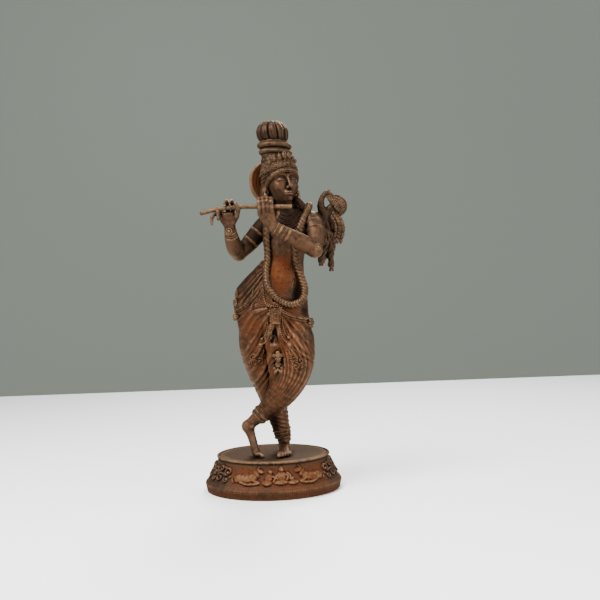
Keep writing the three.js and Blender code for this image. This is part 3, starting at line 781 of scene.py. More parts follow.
def model_head(grain):
    clay = Clay([-66, -84, -82], [66, 72, 84], grain)

    def strand(hand, rows, soft, steps, cut=False):
        clay.limb([[hand * x, y, z, wide] for x, y, z, wide in rows], soft, steps, cut=cut)

    clay.egg([0, 4, 14], [50, 55, 56], 6)
    clay.egg([0, -8, -14], [41, 43, 50], 14)
    clay.egg([0, -18, -38], [30, 32, 27], 12)
    clay.egg([0, -44, -59], [11, 9, 8], 9)
    for hand in (-1, 1):
        clay.egg([hand * 22, -36, -21], [15, 13, 15], 12)
        # The socket, the round of the eye, and its lids nearly closed
        clay.egg([hand * 18, -60, 1], [13, 9, 8], 9, cut=True)
        clay.egg([hand * 18, -43, -2], [12, 9.5, 8.5], 3)
        for soft, cut, *rows in EYE:
            strand(hand, rows, soft, 12, cut)
        # The ear with its rim, hollow and long lobe
        clay.egg([hand * 47, 6, -8], [6, 12, 20], 5, lean=(0, 0, hand * 18))
        clay.egg([hand * 53, 3, -6], [4, 7, 12], 4, cut=True)
        clay.egg([hand * 47, 2, -28], [5, 7, 10], 5)
    # Nose, mouth and chin
    nose = [[0, -52, 10, 3.6, 3], [0, -57, -2, 3.6, 4], [0, -62.5, -16, 4.4, 5], [0, -65, -23, 5, 5]]
    clay.limb(nose, 7, 12)
    clay.egg([0, -65.5, -24], [5, 5, 4.6], 5)
    clay.egg([0, -51, -43], [15, 8, 9], 9)
    for hand in (-1, 1):
        clay.egg([hand * 6.2, -58.5, -26.5], [4, 5.4, 4], 4)
        clay.egg([hand * 3.4, -61.5, -30.5], [2, 2.4, 1.4], 1.5, cut=True)
        lip = [[14, -50.5, -42.4, 1], [8, -56.4, -41.2, 2.2], [2.6, -59.4, -39.6, 2.4], [0, -59.4, -40.6, 2.2]]
        strand(hand, lip, 3, 12)
        strand(hand, [[12, -51.5, -44.4, 1.2], [6, -56.8, -47.4, 2.7], [0, -58.4, -48.2, 3]], 3, 14)
        strand(hand, [[15.5, -51, -41.8, 0.7], [7, -58, -43.6, 0.8], [0, -61, -43.4, 0.8]], 1.2, 14, True)
    clay.limb([[0, -63, -33, 1.6], [0, -61.5, -37, 1.6]], 2.6, 4, cut=True)
    clay.egg([0, -59.5, -54], [8, 4.6, 2.6], 5, cut=True)
    # Hair combed back from the brow, in a low roll
    for hand in (-1, 1):
        roll = [[3, -51, 25, 6], [20, -48, 23, 7], [37, -34, 13, 8], [46, -16, -1, 8], [49, 2, -18, 6]]
        strand(hand, roll, 3, 18)
    form = clay.surface()
    corners = form[0]
    hair = ease((corners[:, 2] - 20 + 0.35 * (corners[:, 1] + 50)) / 5) + ease((corners[:, 1] - 14) / 6)
    hair = np.clip(hair, 0, 1)
    strands = np.cos(np.arctan2(corners[:, 0], -corners[:, 1]) * 46 + 0.08 * corners[:, 2])
    return on_head(pushed(form, 0.9 * hair * strands)[0]), form[1]


def model_hair():
    """The long hair gathered behind, and the locks that fall on the left shoulder."""
    def strands(count, swing):
        def shape(angle, share):
            wave = np.cos(count * angle + swing * np.sin(5 * share * math.pi))
            return 1 + 0.075 * wave + 0.03 * np.cos(2.7 * count * angle - 14 * share)
        return shape

    nape = on_head([[0, 34, 10], [-4, 40, -50]])
    back = [[56, 46, 706, 43, 20], [56, 54, 640, 32, 16], [54, 50, 580, 11, 8]]
    fall = spline([[*nape[0], 38, 28], [*nape[1], 42, 28], *back], 80)
    forms = [sweep(fall[:, :3], fall[:, 3], fall[:, 4], 96, strands(13, 1.3))]
    for hand, path in (
        (1, [[88, -2, 758], [108, -10, 734], [118, -20, 712]]),
        (1, [[84, 2, 752], [98, 4, 724], [104, 12, 700]]),
        (-1, [[2, 10, 752], [-2, 22, 726], [4, 34, 700]]),
    ):
        start = on_head([[hand * 44, 12, -22], [hand * 48, 16, -44]])
        line = spline([*start, *path], 60)
        size = np.interp(np.linspace(0, 1, 61), [0, 0.3, 0.8, 1], [8, 11, 9, 3])
        forms.append(sweep(line, size, size * 0.8, 30, strands(5, 2)))
    return joined(forms)


def lathe(rows, around, shape):
    """An upright form from rows of [height, x, y, half width, half depth], lowest first."""
    angle = circle(around)
    reach = shape(angle, np.linspace(0, 1, len(rows))[:, None])
    z, x, y, wide, deep = rows.T[..., None]
    x, y = x - wide * reach * np.sin(angle), y - deep * reach * np.cos(angle)
    return wall(np.stack([x, y, z + 0 * reach], -1))


def ring_line(centre, radius, count):
    """A round of points about a centre, a little lower on the figure's left."""
    angle = circle(count)
    line = np.stack([np.sin(angle), -np.cos(angle), -0.05 * np.sin(angle)], 1)
    return radius * line + np.asarray(centre, float)


def twisted(strands, turns, depth=0.2):
    """The wall of a twisted rope."""
    def shape(angle, share):
        return 1 + depth * (np.abs(np.cos((strands * angle + FULL_TURN * turns * share) / 2)) - 0.5)
    return shape


def model_crown():
    """The tall crown: a patterned cone, two banded rings, a string of beads and a lobed bulb."""
    lobes = 10
    bulb = spline([
        [936, 19, 3, 40, 40], [944, 18, 4, 45, 45], [956, 16, 5.5, 48, 48], [968, 15, 6.5, 48, 48],
        [980, 14, 7.5, 43, 43], [990, 13, 8.5, 33, 33], [996, 13, 9, 20, 20], [999, 13, 9, 5, 5],
    ], 44)

    def petals(angle, share):
        lobe = np.abs(np.cos(lobes * angle / 2)) ** 0.5
        notch = 0.2 * ease((share - 0.45) / 0.4)
        vein = 0.035 * np.abs(np.cos(1.5 * lobes * angle + 0.6 * np.sin(5 * share)))
        return 1 - (0.18 + notch) * (1 - lobe) + vein * ease(share / 0.2) * ease((0.95 - share) / 0.2)

    cone = spline([
        [846, 31, -8, 52, 54], [862, 30, -7, 50, 52], [880, 28, -6, 46, 48], [893, 26, -4, 41, 42],
        [903, 25, -3, 38, 38], [920, 22, 0, 38, 38], [938, 19, 3, 40, 40],
    ], 44)

    def leaves(angle, share):
        rows = np.floor(share * 8)
        petal = np.abs(np.cos(9 * angle + math.pi / 2 * rows)) * np.sin(math.pi * ((share * 8) % 1)) ** 0.6
        return 1 + 0.05 * petal

    forms = [lathe(bulb, 180, petals), lathe(cone, 120, leaves)]
    for centre, size, count, radius in (
        ([20, 2, 931], 43, 62, 2.5), ([23, -1, 911], 41, 58, 2.5), ([26, -4, 891], 42, 44, 3.4),
    ):
        forms.append(beads(ring_line(centre, size, count), radius))
    for centre, size, thick, turns in (([21, 1, 922], 44, 7.5, 54), ([24, -2, 902], 43, 7, -50)):
        line = ring_line(centre, size, 324)
        out = unit((line - centre) * [1, 1, 0])
        forms.append(sweep(line, thick, thick, 14, twisted(3, turns), out, closed=True))
    for a in circle(lobes):
        out = np.array([math.sin(a), -math.cos(a), 0.3])
        line = spline([[15, 8, 968] + 37 * out, [14, 8.5, 978] + 31 * out, [14, 9, 984] + 25 * out], 10)
        forms.append(sweep(line, 9, 5, 16, front=out))
    return joined(forms)


def leaf(base, tip, out, wide, thick, belly=0.0):
    """A pointed leaf with a raised middle rib, from base to tip, facing out."""
    base, tip, out = np.asarray(base, float), np.asarray(tip, float), unit(out)
    share = np.linspace(0, 1, 13)
    line = base + (tip - base) * share[:, None] + out * (belly * np.sin(math.pi * share))[:, None]
    size = wide * np.sin(math.pi * np.clip(share, 0.02, 0.98) ** 0.72) ** 0.8 + 0.4
    deep = thick * (0.35 + 0.65 * np.sin(math.pi * share**0.8)) + 0.3

    def ribbed(angle, share):
        return 1 + 0.28 * np.exp(-((np.minimum(angle, FULL_TURN - angle) / 0.3) ** 2))

    return sweep(line, size, deep, 12, ribbed, out, flat_ends=True)


def winding(radius, turns, start, count, shrink=0.78):
    """A flat line that winds in on itself, as rows of x and y; turns below 0 go the other way round."""
    share = np.linspace(0, 1, count)
    angle = start + FULL_TURN * turns * share
    size = radius * (1 - shrink * share)
    return size * np.cos(angle), size * np.sin(angle)


def curl(centre, across, up, radius, turns, hand, thick, start=0.0):
    """A curl that winds in on itself in the plane of across and up."""
    x, y = winding(radius, hand * turns, start, int(15 * turns) + 1)
    line = np.asarray(centre, float) + np.outer(x, across) + np.outer(y, up)
    size = thick * (1 - 0.35 * np.linspace(0, 1, len(x)))
    form = sweep(line, size, None, 8, front=np.cross(across, up))
    return joined([form, beads([line[-1]], thick * 1.35)])


def model_diadem():
    """The band of the brow, curls heaped over it and a low peak of leaves."""
    forms = []

    def brow(angle, up, grow=0.0):
        angle = np.asarray(angle, float)
        sunk = up - 17 * ease(np.abs(angle) / 1.7)
        return np.stack([(53 + grow) * np.sin(angle), 2 - (57 + grow) * np.cos(angle), sunk], -1)

    angle = np.linspace(-1.95, 1.95, 160)
    for up, thick in ((24, 2.2), (36, 2.4)):
        line = on_head(brow(angle, up))
        forms.append(sweep(line, thick, None, 10, twisted(2, 44), line - np.array(HEAD)))
    forms.append(beads(evenly(on_head(brow(angle, 30, 1)), 5.6), 2.6))
    forms.append(beads(evenly(on_head(brow(angle, 19, 3)), 5), 2.1))
    # Curls in rows that close in on the crown
    for row in range(4):
        up, grow, count = 43 + 8.5 * row, 2 - 2.6 * row, 21 - 2 * row
        for i, a in enumerate(np.linspace(-1.9, 1.9, count) + 0.05 * (row % 2)):
            out = np.array([math.sin(a), -math.cos(a), 0.3])
            ends = on_head([brow(a, up, grow), [math.cos(a), math.sin(a), 0], out])
            across, out = ends[1] - HEAD, unit(ends[2] - HEAD)
            hand = 1 if (i + row) % 2 else -1
            forms.append(curl(ends[0], across, np.cross(out, across), 6.4, 1.3, hand, 2.1, 1.7 * i + row))
    for i in range(-3, 4):
        a, tall = 0.3 * i, 27 - 4.5 * abs(i)
        out = np.array([math.sin(a), -math.cos(a), 0.25])
        base = brow(a, 56, -1)
        ends = on_head([base, base + [-0.3 * tall * out[0], -0.3 * tall * out[1], tall], out])
        forms.append(leaf(ends[0], ends[1], ends[2] - HEAD, 7.4 - 0.5 * abs(i), 4.2, 3))
        forms.append(beads([ends[1], 0.6 * ends[0] + 0.4 * ends[1] + unit(ends[2] - HEAD) * 6], [2, 2.4]))
    return joined(forms)


def model_ear_drops():
    """Ear ornaments: a flower on each lobe, a ring and a long drop."""
    forms = []
    for hand in (-1, 1):
        stud = on_head([[hand * 54, 0, -22]])[0]
        across = on_head([[0, 1, 0]])[0] - HEAD
        heart = stud + (on_head([[hand, 0, 0]])[0] - HEAD) * 2
        forms += [rosette(stud, across, UP, 6, 8, 2.6), beads([heart], 3.4)]
        drop = on_head([[hand * 54, 0, -32], [hand * 55, 0, -44], [hand * 54, 2, -60], [hand * 53, 4, -72]])
        line = spline(drop, 30)
        size = 3.2 + 2.4 * np.abs(np.sin(np.linspace(0, 3.2 * math.pi, 31)))
        forms.append(sweep(line, size, None, 14))
    return joined(forms)


def model_halo():
    """The round disc behind the head, with fine flutes that run out from its middle."""
    share, angle = np.linspace(0.02, 1, 24)[:, None], circle(360)
    bumps = 0.5 + 0.5 * np.cos(90 * angle)
    steps = 0.5 + 0.5 * np.cos(FULL_TURN * 6.5 * share)
    front = 3 + 2 * (1 - share**2) + (1.2 * ease((share - 0.2) / 0.1) * bumps + 0.9 * steps)
    back = 5 + 1.2 * bumps * ease((share - 0.3) / 0.1) + 0.8 * steps
    edge = np.where(share > 0.985, 0.55, 1.0)
    reach = 69 * share * (1 + 0.012 * bumps * (share > 0.97))
    x, z = reach * np.cos(angle), reach * np.sin(angle)
    sides = [np.stack([x, -front * edge, z], -1), np.stack([x, back * edge, z], -1)[::-1]]
    corners, faces = wall(np.concatenate(sides))
    return on_head(corners + [-3, 62, 6]), faces


# Ornaments


def chain(line, radius, pitch=2.1, end=None):
    """A string of small beads along a line, with a larger bead at its end if asked."""
    places = evenly(line, radius * pitch)
    forms = [beads(places, radius)]
    if end:
        forms.append(beads([places[-1]], end))
    return joined(forms)


def garland_line(skin):
    """The line of the long garland, which lies on the body in front."""
    hand_made = [
        [60, 52, 700], [96, 50, 722], [120, 20, 742], [122, -12, 738], [110, -42, 715], [99, -56, 690],
        [86, -60, 655], [77, -56, 610], [80, -58, 566], [94, -62, 525], [103, -70, 487], [92, -78, 457],
        [62, -82, 446], [31, -80, 456], [6, -72, 478], [-10, -62, 510], [-12, -54, 548], [-6, -50, 590],
        [-8, -50, 640], [-4, -40, 690], [8, -8, 728], [22, 28, 728], [60, 52, 700],
    ]
    line = spline(hand_made, 760)[:-1]
    front = line[:, 1] < -30
    seated = line.copy()
    seated[front] = skin.front(line[front][:, [0, 2]], 7.5)
    depth = np.where(front, np.clip(seated[:, 1], line[:, 1] - 10, line[:, 1] + 14), line[:, 1])
    window = np.hanning(61)
    window /= window.sum()
    depth = np.convolve(np.concatenate([depth[-30:], depth, depth[:30]]), window, "valid")
    line[:, 1] = depth
    return line


def model_garland(skin, flowers):
    line = garland_line(skin)
    middle = np.array([48.0, 0.0])
    out = np.zeros_like(line)
    out[:, :2] = line[:, :2] - middle
    out[:, 1] -= 30 * (line[:, 1] < 0)

    def plaited(angle, share):
        lean = np.minimum(angle, FULL_TURN - angle)
        turn = FULL_TURN * flowers * share
        petal = 0.5 + 0.5 * np.cos(turn + 2.6 * lean)
        seed = 0.5 + 0.5 * np.cos(2 * turn + 1.3) * np.cos(6 * angle)
        return 0.86 + 0.17 * petal + 0.1 * seed - 0.09 * np.exp(-((lean / 0.2) ** 2))

    return sweep(line, 10.2, 9.2, 30, plaited, unit(out), closed=True)


def model_necklaces(skin):
    """Rows of beads and cords on the chest, drops under them, a flower and a neck ring."""
    forms = []
    middle = np.array([53.0, 744.0])

    def hung(angle, wide, drop, lift):
        places = [middle[0] + wide * np.sin(angle), middle[1] - drop * np.cos(angle) - 4]
        return skin.front(np.stack(places, 1), lift)

    angle = np.linspace(-1.25, 1.25, 60)
    for i, (wide, drop) in enumerate([(30, 30), (38, 42), (46, 55), (54, 69)]):
        forms.append(chain(hung(angle, wide, drop, 1.6), 1.9 + 0.2 * i))
        if i < 3:
            line = hung(angle, wide + 4, drop + 6.4, 0.8)
            forms.append(sweep(line, 2.2, 1.4, 10, twisted(2, 26)))
    places = hung(np.linspace(-1, 1, 9), 56, 80, 2)
    forms.append(beads(places, 3.6))
    forms += [leaf(p + [0, 0, 2], p - [0, 0, 9], FRONT, 4.2, 2.6) for p in places]
    centre = skin.front([[54, 662]], 3)[0]
    forms += [rosette(centre, UP, RIGHT, 8, 10, 3), beads([centre - [0, 2, 0]], 5.5)]
    line, out = skin.round([46, -8], np.linspace(0, FULL_TURN, 161)[:-1], np.full(160, 742.0), 1.5)
    forms.append(sweep(line, 3, 2.6, 10, twisted(2, 44), out, closed=True))
    return joined(forms)


def model_belly_chain(skin):
    """The thin chain that dips over the belly."""
    places = spline([[-4, 560], [0, 520], [14, 484], [36, 470], [58, 486], [70, 520], [72, 560]], 80)
    return chain(skin.front(places, 1.0), 1.6)


def cross_section(path, share):
    """A place on a limb's middle line and the way it runs there."""
    line = spline([row[:3] for row in path], 60)
    i = int(round(share * 60))
    along = unit(line[min(i + 1, 60)] - line[max(i - 1, 0)])
    return line[i], along


def hoop(place, along, radius, count):
    """Points round a limb, and the way out at each."""
    hint = FRONT if abs(along @ FRONT) < 0.8 else UP
    first = unit(np.cross(along, hint))
    second = np.cross(along, first)
    angle = circle(count)
    out = np.outer(np.cos(angle), first) + np.outer(np.sin(angle), second)
    return place + out * radius, out


def bangle(place, along, radius, thick, turns=24, flat=1.0):
    """A twisted ring round a limb."""
    line, out = hoop(place, along, radius, 120)
    return sweep(line, thick * flat, thick, 10, twisted(2, turns, 0.24), out, closed=True)


def bead_ring(place, along, radius, size):
    """A ring of beads round a limb."""
    line, _ = hoop(place, along, radius, int(FULL_TURN * radius / (2.1 * size)))
    return beads(line, size)


def model_arm_jewels():
    """Armlets, cuffs with their rows of beads, and a medallion on the right wrist."""
    forms = []
    for path, rows in (
        (LEFT_ARM[0], [(0.36, 29.2, 2.2), (0.56, 27.6, 1.8)]),
        (RIGHT_ARM[0], [(0.42, 27.2, 2.2), (0.6, 25.6, 1.8)]),
    ):
        for share, radius, thick in rows:
            place, along = cross_section(path, share)
            forms.append(bangle(place, along, radius, thick))
            forms.append(bead_ring(place + along * 3.8, along, radius - 0.6, 1.7))
    for path, radius, shares in (
        (LEFT_ARM[1], 18.4, (0.7, 0.78, 0.86, 0.95)),
        (RIGHT_ARM[1], 18.2, (0.74, 0.82, 0.9, 0.98)),
    ):
        for i, share in enumerate(shares):
            place, along = cross_section(path, share)
            size = radius - 1.05 * i
            ring = bead_ring(place, along, size, 2.5) if i % 2 else bangle(place, along, size, 2.4, flat=1.5)
            forms.append(ring)
    # A knot of beads on the left elbow and a flower on the right wrist
    for centre, out in (([140, -112, 612], [0.4, -0.9, 0.2]), ([-116, -101, 662], [-0.1, -0.95, 0.1])):
        out = unit(out)
        across = unit(np.cross(out, UP))
        up = np.cross(across, out)
        forms += [rosette(centre, across, up, 8, 9, 2.6), beads([centre + out * 1.5], 4.6)]
    return joined(forms)


def model_girdle(skin):
    """The belt with its plaque, chains with round drops, the pendant, the hip swag and the side knots."""
    forms = []

    def hang(places, steps, lift, radius, pitch=2.1):
        forms.append(chain(skin.front(spline(places, steps), lift), radius, pitch))

    # The belt runs from the plaque over the left hip and round the back to the knots on the right hip
    angle = np.linspace(0.12, FULL_TURN - 1.5, 240)
    dip = 42 * np.sin(np.minimum(angle, math.pi)) + 18 * np.sin(np.maximum(angle, math.pi))
    for drop, thick, turns in ((0, 3.6, 52), (-7.5, 2.4, 56)):
        line, out = skin.round([3, 0], angle, 440 + drop - dip, 1)
        forms.append(sweep(line, thick, thick, 14, twisted(2, turns), out))
    hang([[-22, 508], [-20, 484], [-18, 462], [-12, 447], [0, 440]], 30, 1.8, 3.2)
    hang([[-14, 452], [2, 444], [20, 440], [32, 437]], 30, 1.8, 2.8)
    hang([[30, 430], [57, 419], [86, 408], [110, 392]], 30, 1.8, 2.2)
    # Plaque
    depth = skin.front([[13, 430], [13, 396]], 0)[:, 1].min()
    top, low = np.array([13, depth - 1.5, 434.0]), np.array([13, depth - 3.5, 391.0])
    face = spline([[*top, 15], [*(0.5 * (top + low)), 15.5], [*low, 13]], 24)

    def squared(angle, share):
        return np.minimum(1 / np.maximum(np.abs(np.sin(angle)), 0.2), 1.12)

    forms.append(sweep(face[:, :3], face[:, 3], 5, 28, squared, flat_ends=True))
    edge = ((-3, 434), (29, 434), (26, 392), (0, 392), (-3, 434))
    forms.append(chain([[x, depth - 7.5 + 0.01 * (434 - z), z] for x, z in edge], 2.2))
    forms.append(beads([[13, depth - 8, 420], [13, depth - 8.5, 406]], [4.6, 3.6]))
    # Chains that fall from the plaque, each with a round drop
    for places, radius, drop in (
        ([[3, 396], [-4, 366], [-13, 341], [-31, 327]], 3.2, 7.6),
        ([[23, 396], [27, 366], [36, 346], [53, 328]], 3.2, 7.6),
        ([[-8, 412], [-10, 386], [-15, 362], [-27, 346]], 2.0, 4.6),
        ([[32, 412], [35, 386], [42, 362], [51, 350]], 2.0, 4.6),
        ([[10, 344], [10, 328]], 2.4, 7.2),
    ):
        line = skin.front(evenly(spline(places, 30), 4), 2.4)
        line[:, 1] = np.minimum(line[:, 1], np.linspace(line[0, 1], line[-1, 1], len(line)))
        forms.append(chain(line, radius, end=drop))
    # Rows of small beads beside the chains
    hang([[-12, 408], [-15, 384], [-22, 360]], 20, 1.4, 1.7, 2.6)
    hang([[38, 408], [42, 384], [48, 366]], 20, 1.4, 1.7, 2.6)
    # Pendant under them
    centre = skin.front([[0, 296], [34, 270]], 3)[:, 1].min() + 5
    line = spline([[18, centre, 308], [19, centre - 2, 286], [18, centre, 268]], 24)
    size = 4.4 + 3 * np.abs(np.sin(np.linspace(0.4, 2.6 * math.pi, 25)))
    forms.append(sweep(line, size, 5, 16))
    for x, y, z, radius in (
        (8, 0, 262, 4.4), (18, -1, 258, 4.8), (28, 0, 262, 4.4),
        (12, -4, 290, 3), (25, -4, 290, 3), (13, -4, 274, 3.2), (24, -4, 274, 3.2),
    ):
        forms.append(beads([[x, centre + y, z]], radius))
    for hand in (-1, 1):
        forms.append(curl([18 + hand * 10, centre, 300], [1, 0, 0], UP, 6, 1.2, hand, 2.2, 1.5 + hand))
        forms.append(leaf([18 + hand * 3, centre - 2, 258], [18 + hand * 12, centre, 244], FRONT, 4.4, 3))
    # Hip swag and the knots at the sides
    swag = skin.front(spline([[-50, 494], [-56, 470], [-72, 451], [-92, 437], [-103, 431]], 40), 2.5)
    forms.append(sweep(swag, 2.5, 2.2, 12, twisted(2, 26)))
    lower = skin.front(swag[:, [0, 2]] + [1.5, -6], 1)
    forms.append(chain(lower, 1.6))
    hang([[-30, 500], [-40, 478], [-58, 462]], 20, 1.2, 1.9, 2.3)
    hang([[-22, 486], [-30, 468], [-44, 456]], 20, 1.2, 1.9, 2.3)
    for x, y, z, size in ((-98, -18, 480, 8), (-102, -22, 454, 9), (-104, -28, 412, 9), (117, -26, 389, 13)):
        out = unit([x, y * 2, 0])
        forms.append(beads([[x, y, z]], size))
        forms.append(rosette([x, y, z] + out * 3, unit(np.cross(out, UP)), UP, size, 9, size * 0.4))
    return joined(forms)


def sash_curls(skin):
    """The curled ends of the sash, heaped on the thighs."""
    forms = []

    def grooved(angle, share):
        return 1 + 0.16 * np.cos(3 * angle)

    def ribbon(places, wide):
        line = skin.front(evenly(places, 2), 0.45 * wide)
        size = wide * np.interp(np.linspace(0, 1, len(line)), [0, 0.15, 0.8, 1], [0.7, 1, 0.9, 0.5])
        forms.append(sweep(line, size, size * 0.8, 14, grooved))

    ribbon(spline([[-28, 326], [-36, 310], [-44, 298], [-56, 288]], 24), 4.6)
    ribbon(spline([[-22, 322], [-24, 304], [-32, 290]], 20), 3.6)
    ribbon(spline([[50, 324], [60, 312], [68, 300], [76, 284]], 24), 4.8)
    ribbon(spline([[62, 318], [78, 304], [86, 288]], 20), 3.2)
    for x, z, radius, hand, start in (
        (-54, 290, 11, 1, 0.6), (-35, 279, 11, -1, 2.4), (-66, 272, 9, -1, 1.6), (-24, 298, 8, 1, 2.0),
        (-48, 268, 8, 1, 3.4), (-40, 300, 7, -1, 0.2), (62, 298, 9, -1, 0.8), (83, 282, 10, 1, 2.6),
        (70, 268, 10, -1, 1.6), (88, 262, 8, 1, 2.2), (54, 284, 7, 1, 0.4), (76, 250, 6, 1, 4.0),
    ):
        ribbon(np.stack(winding(radius, 1.25 * hand, start, 44), 1) + [x, z], 0.34 * radius)
        forms.append(beads(skin.front([[x, z]], 1.5), 0.34 * radius))
    places = [
        [-34, 314], [-24, 312], [-46, 281], [-60, 282], [-28, 288],
        [46, 314], [58, 314], [74, 292], [64, 282], [80, 270],
    ]
    forms.append(beads(skin.front(places, 2), 3.4))
    return joined(forms)


def model_anklets():
    """Rings of beads at the raised ankle, and the hem of the standing leg."""
    forms = []
    raised = [[-24, -55, 132], [-44, -51, 114], [-62, -47, 99]]
    for share, radius in ((0.18, 25.5), (0.42, 23.5)):
        place, along = cross_section(raised, share)
        forms.append(bangle(place, along, radius, 3.2, 30))
        for step in (-5, 5):
            forms.append(bead_ring(place + along * step, along, radius - 0.6 - 0.12 * step, 2.6))
    standing = [[20, 14, 92], [27, 16, 62], [31, 17, 36]]
    for share, radius, thick in ((0.45, 26, 3.0), (0.62, 24.5, 2.6), (0.86, 22.5, 3.2)):
        forms.append(bangle(*cross_section(standing, share), radius, thick, 30))
    forms.append(bead_ring(*cross_section(standing, 0.74), 23.5, 2.6))
    return joined(forms)


def model_flute():
    """A bamboo flute with its joints; its left third bends down a little."""
    line = spline([
        [-193, -100, 715], [-165, -101, 722], [-135, -103, 727],
        [-80, -106, 731], [0, -112, 730], [62, -118, 729],
    ], 200)

    def bamboo(angle, share):
        rings = 0.14 * sum(np.exp(-(((share - j) / 0.006) ** 2)) for j in (0.13, 0.3, 0.52, 0.74, 0.93))
        return 1 + rings + 0.012 * np.cos(9 * angle + 3 * share) - 0.05 * np.sin(math.pi * 4.6 * share) ** 2

    return sweep(line, 6.6, 6.4, 18, bamboo, UP)


def model_peacock(grain):
    """The peacock behind the left shoulder: neck, body, folded train and a spray of feathers."""
    clay = Clay([128, -2, 536], [256, 78, 800], grain)
    neck = [
        [164, 36, 676, 14, 13], [170, 34, 714, 16, 15], [160, 30, 742, 11.5, 11], [163, 28, 766, 7.6, 7.6],
        [176, 27, 782, 7.4, 7.2], [190, 27, 778, 7, 6.6],
    ]
    clay.limb(neck, 5, 24)
    clay.limb([[192, 27, 776, 4.5], [202, 26, 768, 2.6], [207, 26, 760, 1.4]], 2, 8)
    for hand in (-1, 1):
        clay.egg([187, 27 + hand * 6, 781], [2.2, 1.6, 2.2], 0.8)
    clay.limb([[172, 36, 718, 13, 11], [196, 35, 736, 17, 12], [214, 38, 750, 20, 11]], 7, 12)
    clay.egg([192, 38, 690], [12, 9, 24], 8)
    train = [[180, 38, 724, 11, 9], [206, 38, 694, 16, 11], [214, 36, 664, 14, 10], [206, 35, 640, 7, 6]]
    clay.limb(train, 6, 16)
    scarf = [[134, 24, 706, 24, 13], [168, 40, 672, 25, 14], [182, 38, 628, 22, 14], [182, 37, 590, 13, 10]]
    clay.limb(scarf, 6, 20)
    clay.limb([[168, 36, 616, 10, 9], [158, 34, 586, 12, 10], [156, 34, 572, 9, 8]], 5, 10)
    clay.limb([[186, 36, 594, 9, 8], [190, 34, 566, 7, 7], [188, 34, 556, 4, 4]], 5, 10)
    form = clay.surface()
    x, _, z = form[0].T
    row = z * 0.13
    scales = np.abs(np.sin((x - 190) * 0.16 * math.pi + math.pi / 2 * (np.floor(row) % 2))) * (row % 1) ** 0.8
    neck = ease((z - 716) / 14) * ease((185 - x) / 8)
    train = ease((x - 188) / 10) * ease((744 - z) / 10) * ease((z - 640) / 14)
    folds = np.cos(0.42 * (x - 176) + 0.9 * np.sin(z / 34) + 0.05 * z)
    scarf = ease((700 - z) / 12) * ease((194 - x) / 10)
    height = 1.5 * scales * np.clip(neck + train, 0, 1) + 1.7 * scarf * folds
    return pushed(form, height)


def model_feathers():
    """Feathers of the peacock's spray, crest and train, and the twisted scarf with its tassels."""
    forms = []
    # The spray is a shell of small feathers that opens away from the body
    middle = np.array([199.0, 29.0, 742.0])

    def spoke(a, radius):
        return middle + radius * np.array([math.cos(a), -0.16, 0.86 * math.sin(a)])

    for radius, count, long in ((38, 12, 17), (29, 10, 15), (20, 8, 14), (12, 5, 11)):
        for a in np.radians(np.linspace(-52, 118, count)):
            lift = FRONT * (40 - radius) * 0.3
            base, tip = spoke(a, radius - long) + lift + FRONT, spoke(a, radius) + lift
            forms.append(leaf(base, tip, FRONT, 5.6, 4, 1.5))
            forms.append(beads([spoke(a, radius - 3.5) + lift + FRONT * 2.6], 1.8))
    rim = np.array([spoke(a, 38.5) for a in np.radians(np.linspace(-58, 124, 60))])
    forms.append(sweep(rim, 2.6, None, 10, twisted(2, 14)))
    for i in range(3):
        tip = np.array([180 + 5.0 * i, 27 + 2 * (i - 1), 792 - 1.5 * abs(i - 1)])
        line = spline([[181, 27, 784], 0.5 * (np.array([181, 27, 784]) + tip), tip], 8)
        forms += [sweep(line, 1.3, None, 8), beads([tip], 1.9)]
    # Feathers lie over one another down the train, and the scarf beside it is twisted
    train = spline([[198, 27, 722], [212, 24, 696], [216, 24, 670], [208, 26, 640]], 9)
    for i, place in enumerate(train):
        for j in range(-1, 2):
            base = place + [9.0 * j, 2 + 5 * j * j, 6]
            forms.append(leaf(base, base + [1.5 * j, -2, -18 - 2 * (i % 2)], [0.25 * j, -1, 0], 6.2, 3.6, 3))
            forms.append(beads([base + [1.2 * j, -6, -13]], 1.7))
    for path, wide in (
        ([[150, 22, 690], [166, 24, 660], [172, 26, 628], [166, 28, 598], [158, 30, 574]], 9),
        ([[168, 26, 672], [184, 26, 640], [189, 26, 610], [187, 28, 582], [188, 30, 560]], 8),
        ([[186, 24, 660], [196, 26, 636], [194, 28, 612]], 6.5),
    ):
        line = spline(path, 90)
        swell = 1 + 0.16 * np.sin(np.linspace(0, 15, 91))
        forms.append(sweep(line, wide * swell, wide * 0.8 * swell, 18, twisted(3, 5, 0.42)))
    for place, count in (([157, 34, 575], 7), ([189, 34, 558], 6)):
        centre = np.array(place, float)
        for a in circle(count):
            foot = centre + [5.5 * math.cos(a), 4.5 * math.sin(a), -13]
            bend = 0.5 * (centre + foot) + [2 * math.cos(a), 2 * math.sin(a), 0]
            line = spline([centre + [0, 0, 6], bend, foot], 8)
            forms.append(sweep(line, 1.9, None, 8))
    return joined(forms)


# The plinth, in millimetres until its walls are made


def relief_shape(place, centre, along, up, lean=0.0):
    """A rounded boss: 1 at its middle, 0 at its edge, seen along the wall."""
    x, y = place[0] - centre[0], place[1] - centre[1]
    c, s = math.cos(lean), math.sin(lean)
    far = ((c * x + s * y) / along) ** 2 + ((c * y - s * x) / up) ** 2
    return np.sqrt(np.clip(1 - far, 0, 1))


def relief_line(place, points, width):
    """A raised stroke along a line, seen along the wall."""
    best = 1e9
    for far, _ in span_offsets(spline(points, 4 * len(points)), *place):
        best = np.minimum(best, far)
    return np.sqrt(np.clip(1 - (best / width) ** 2, 0, 1))


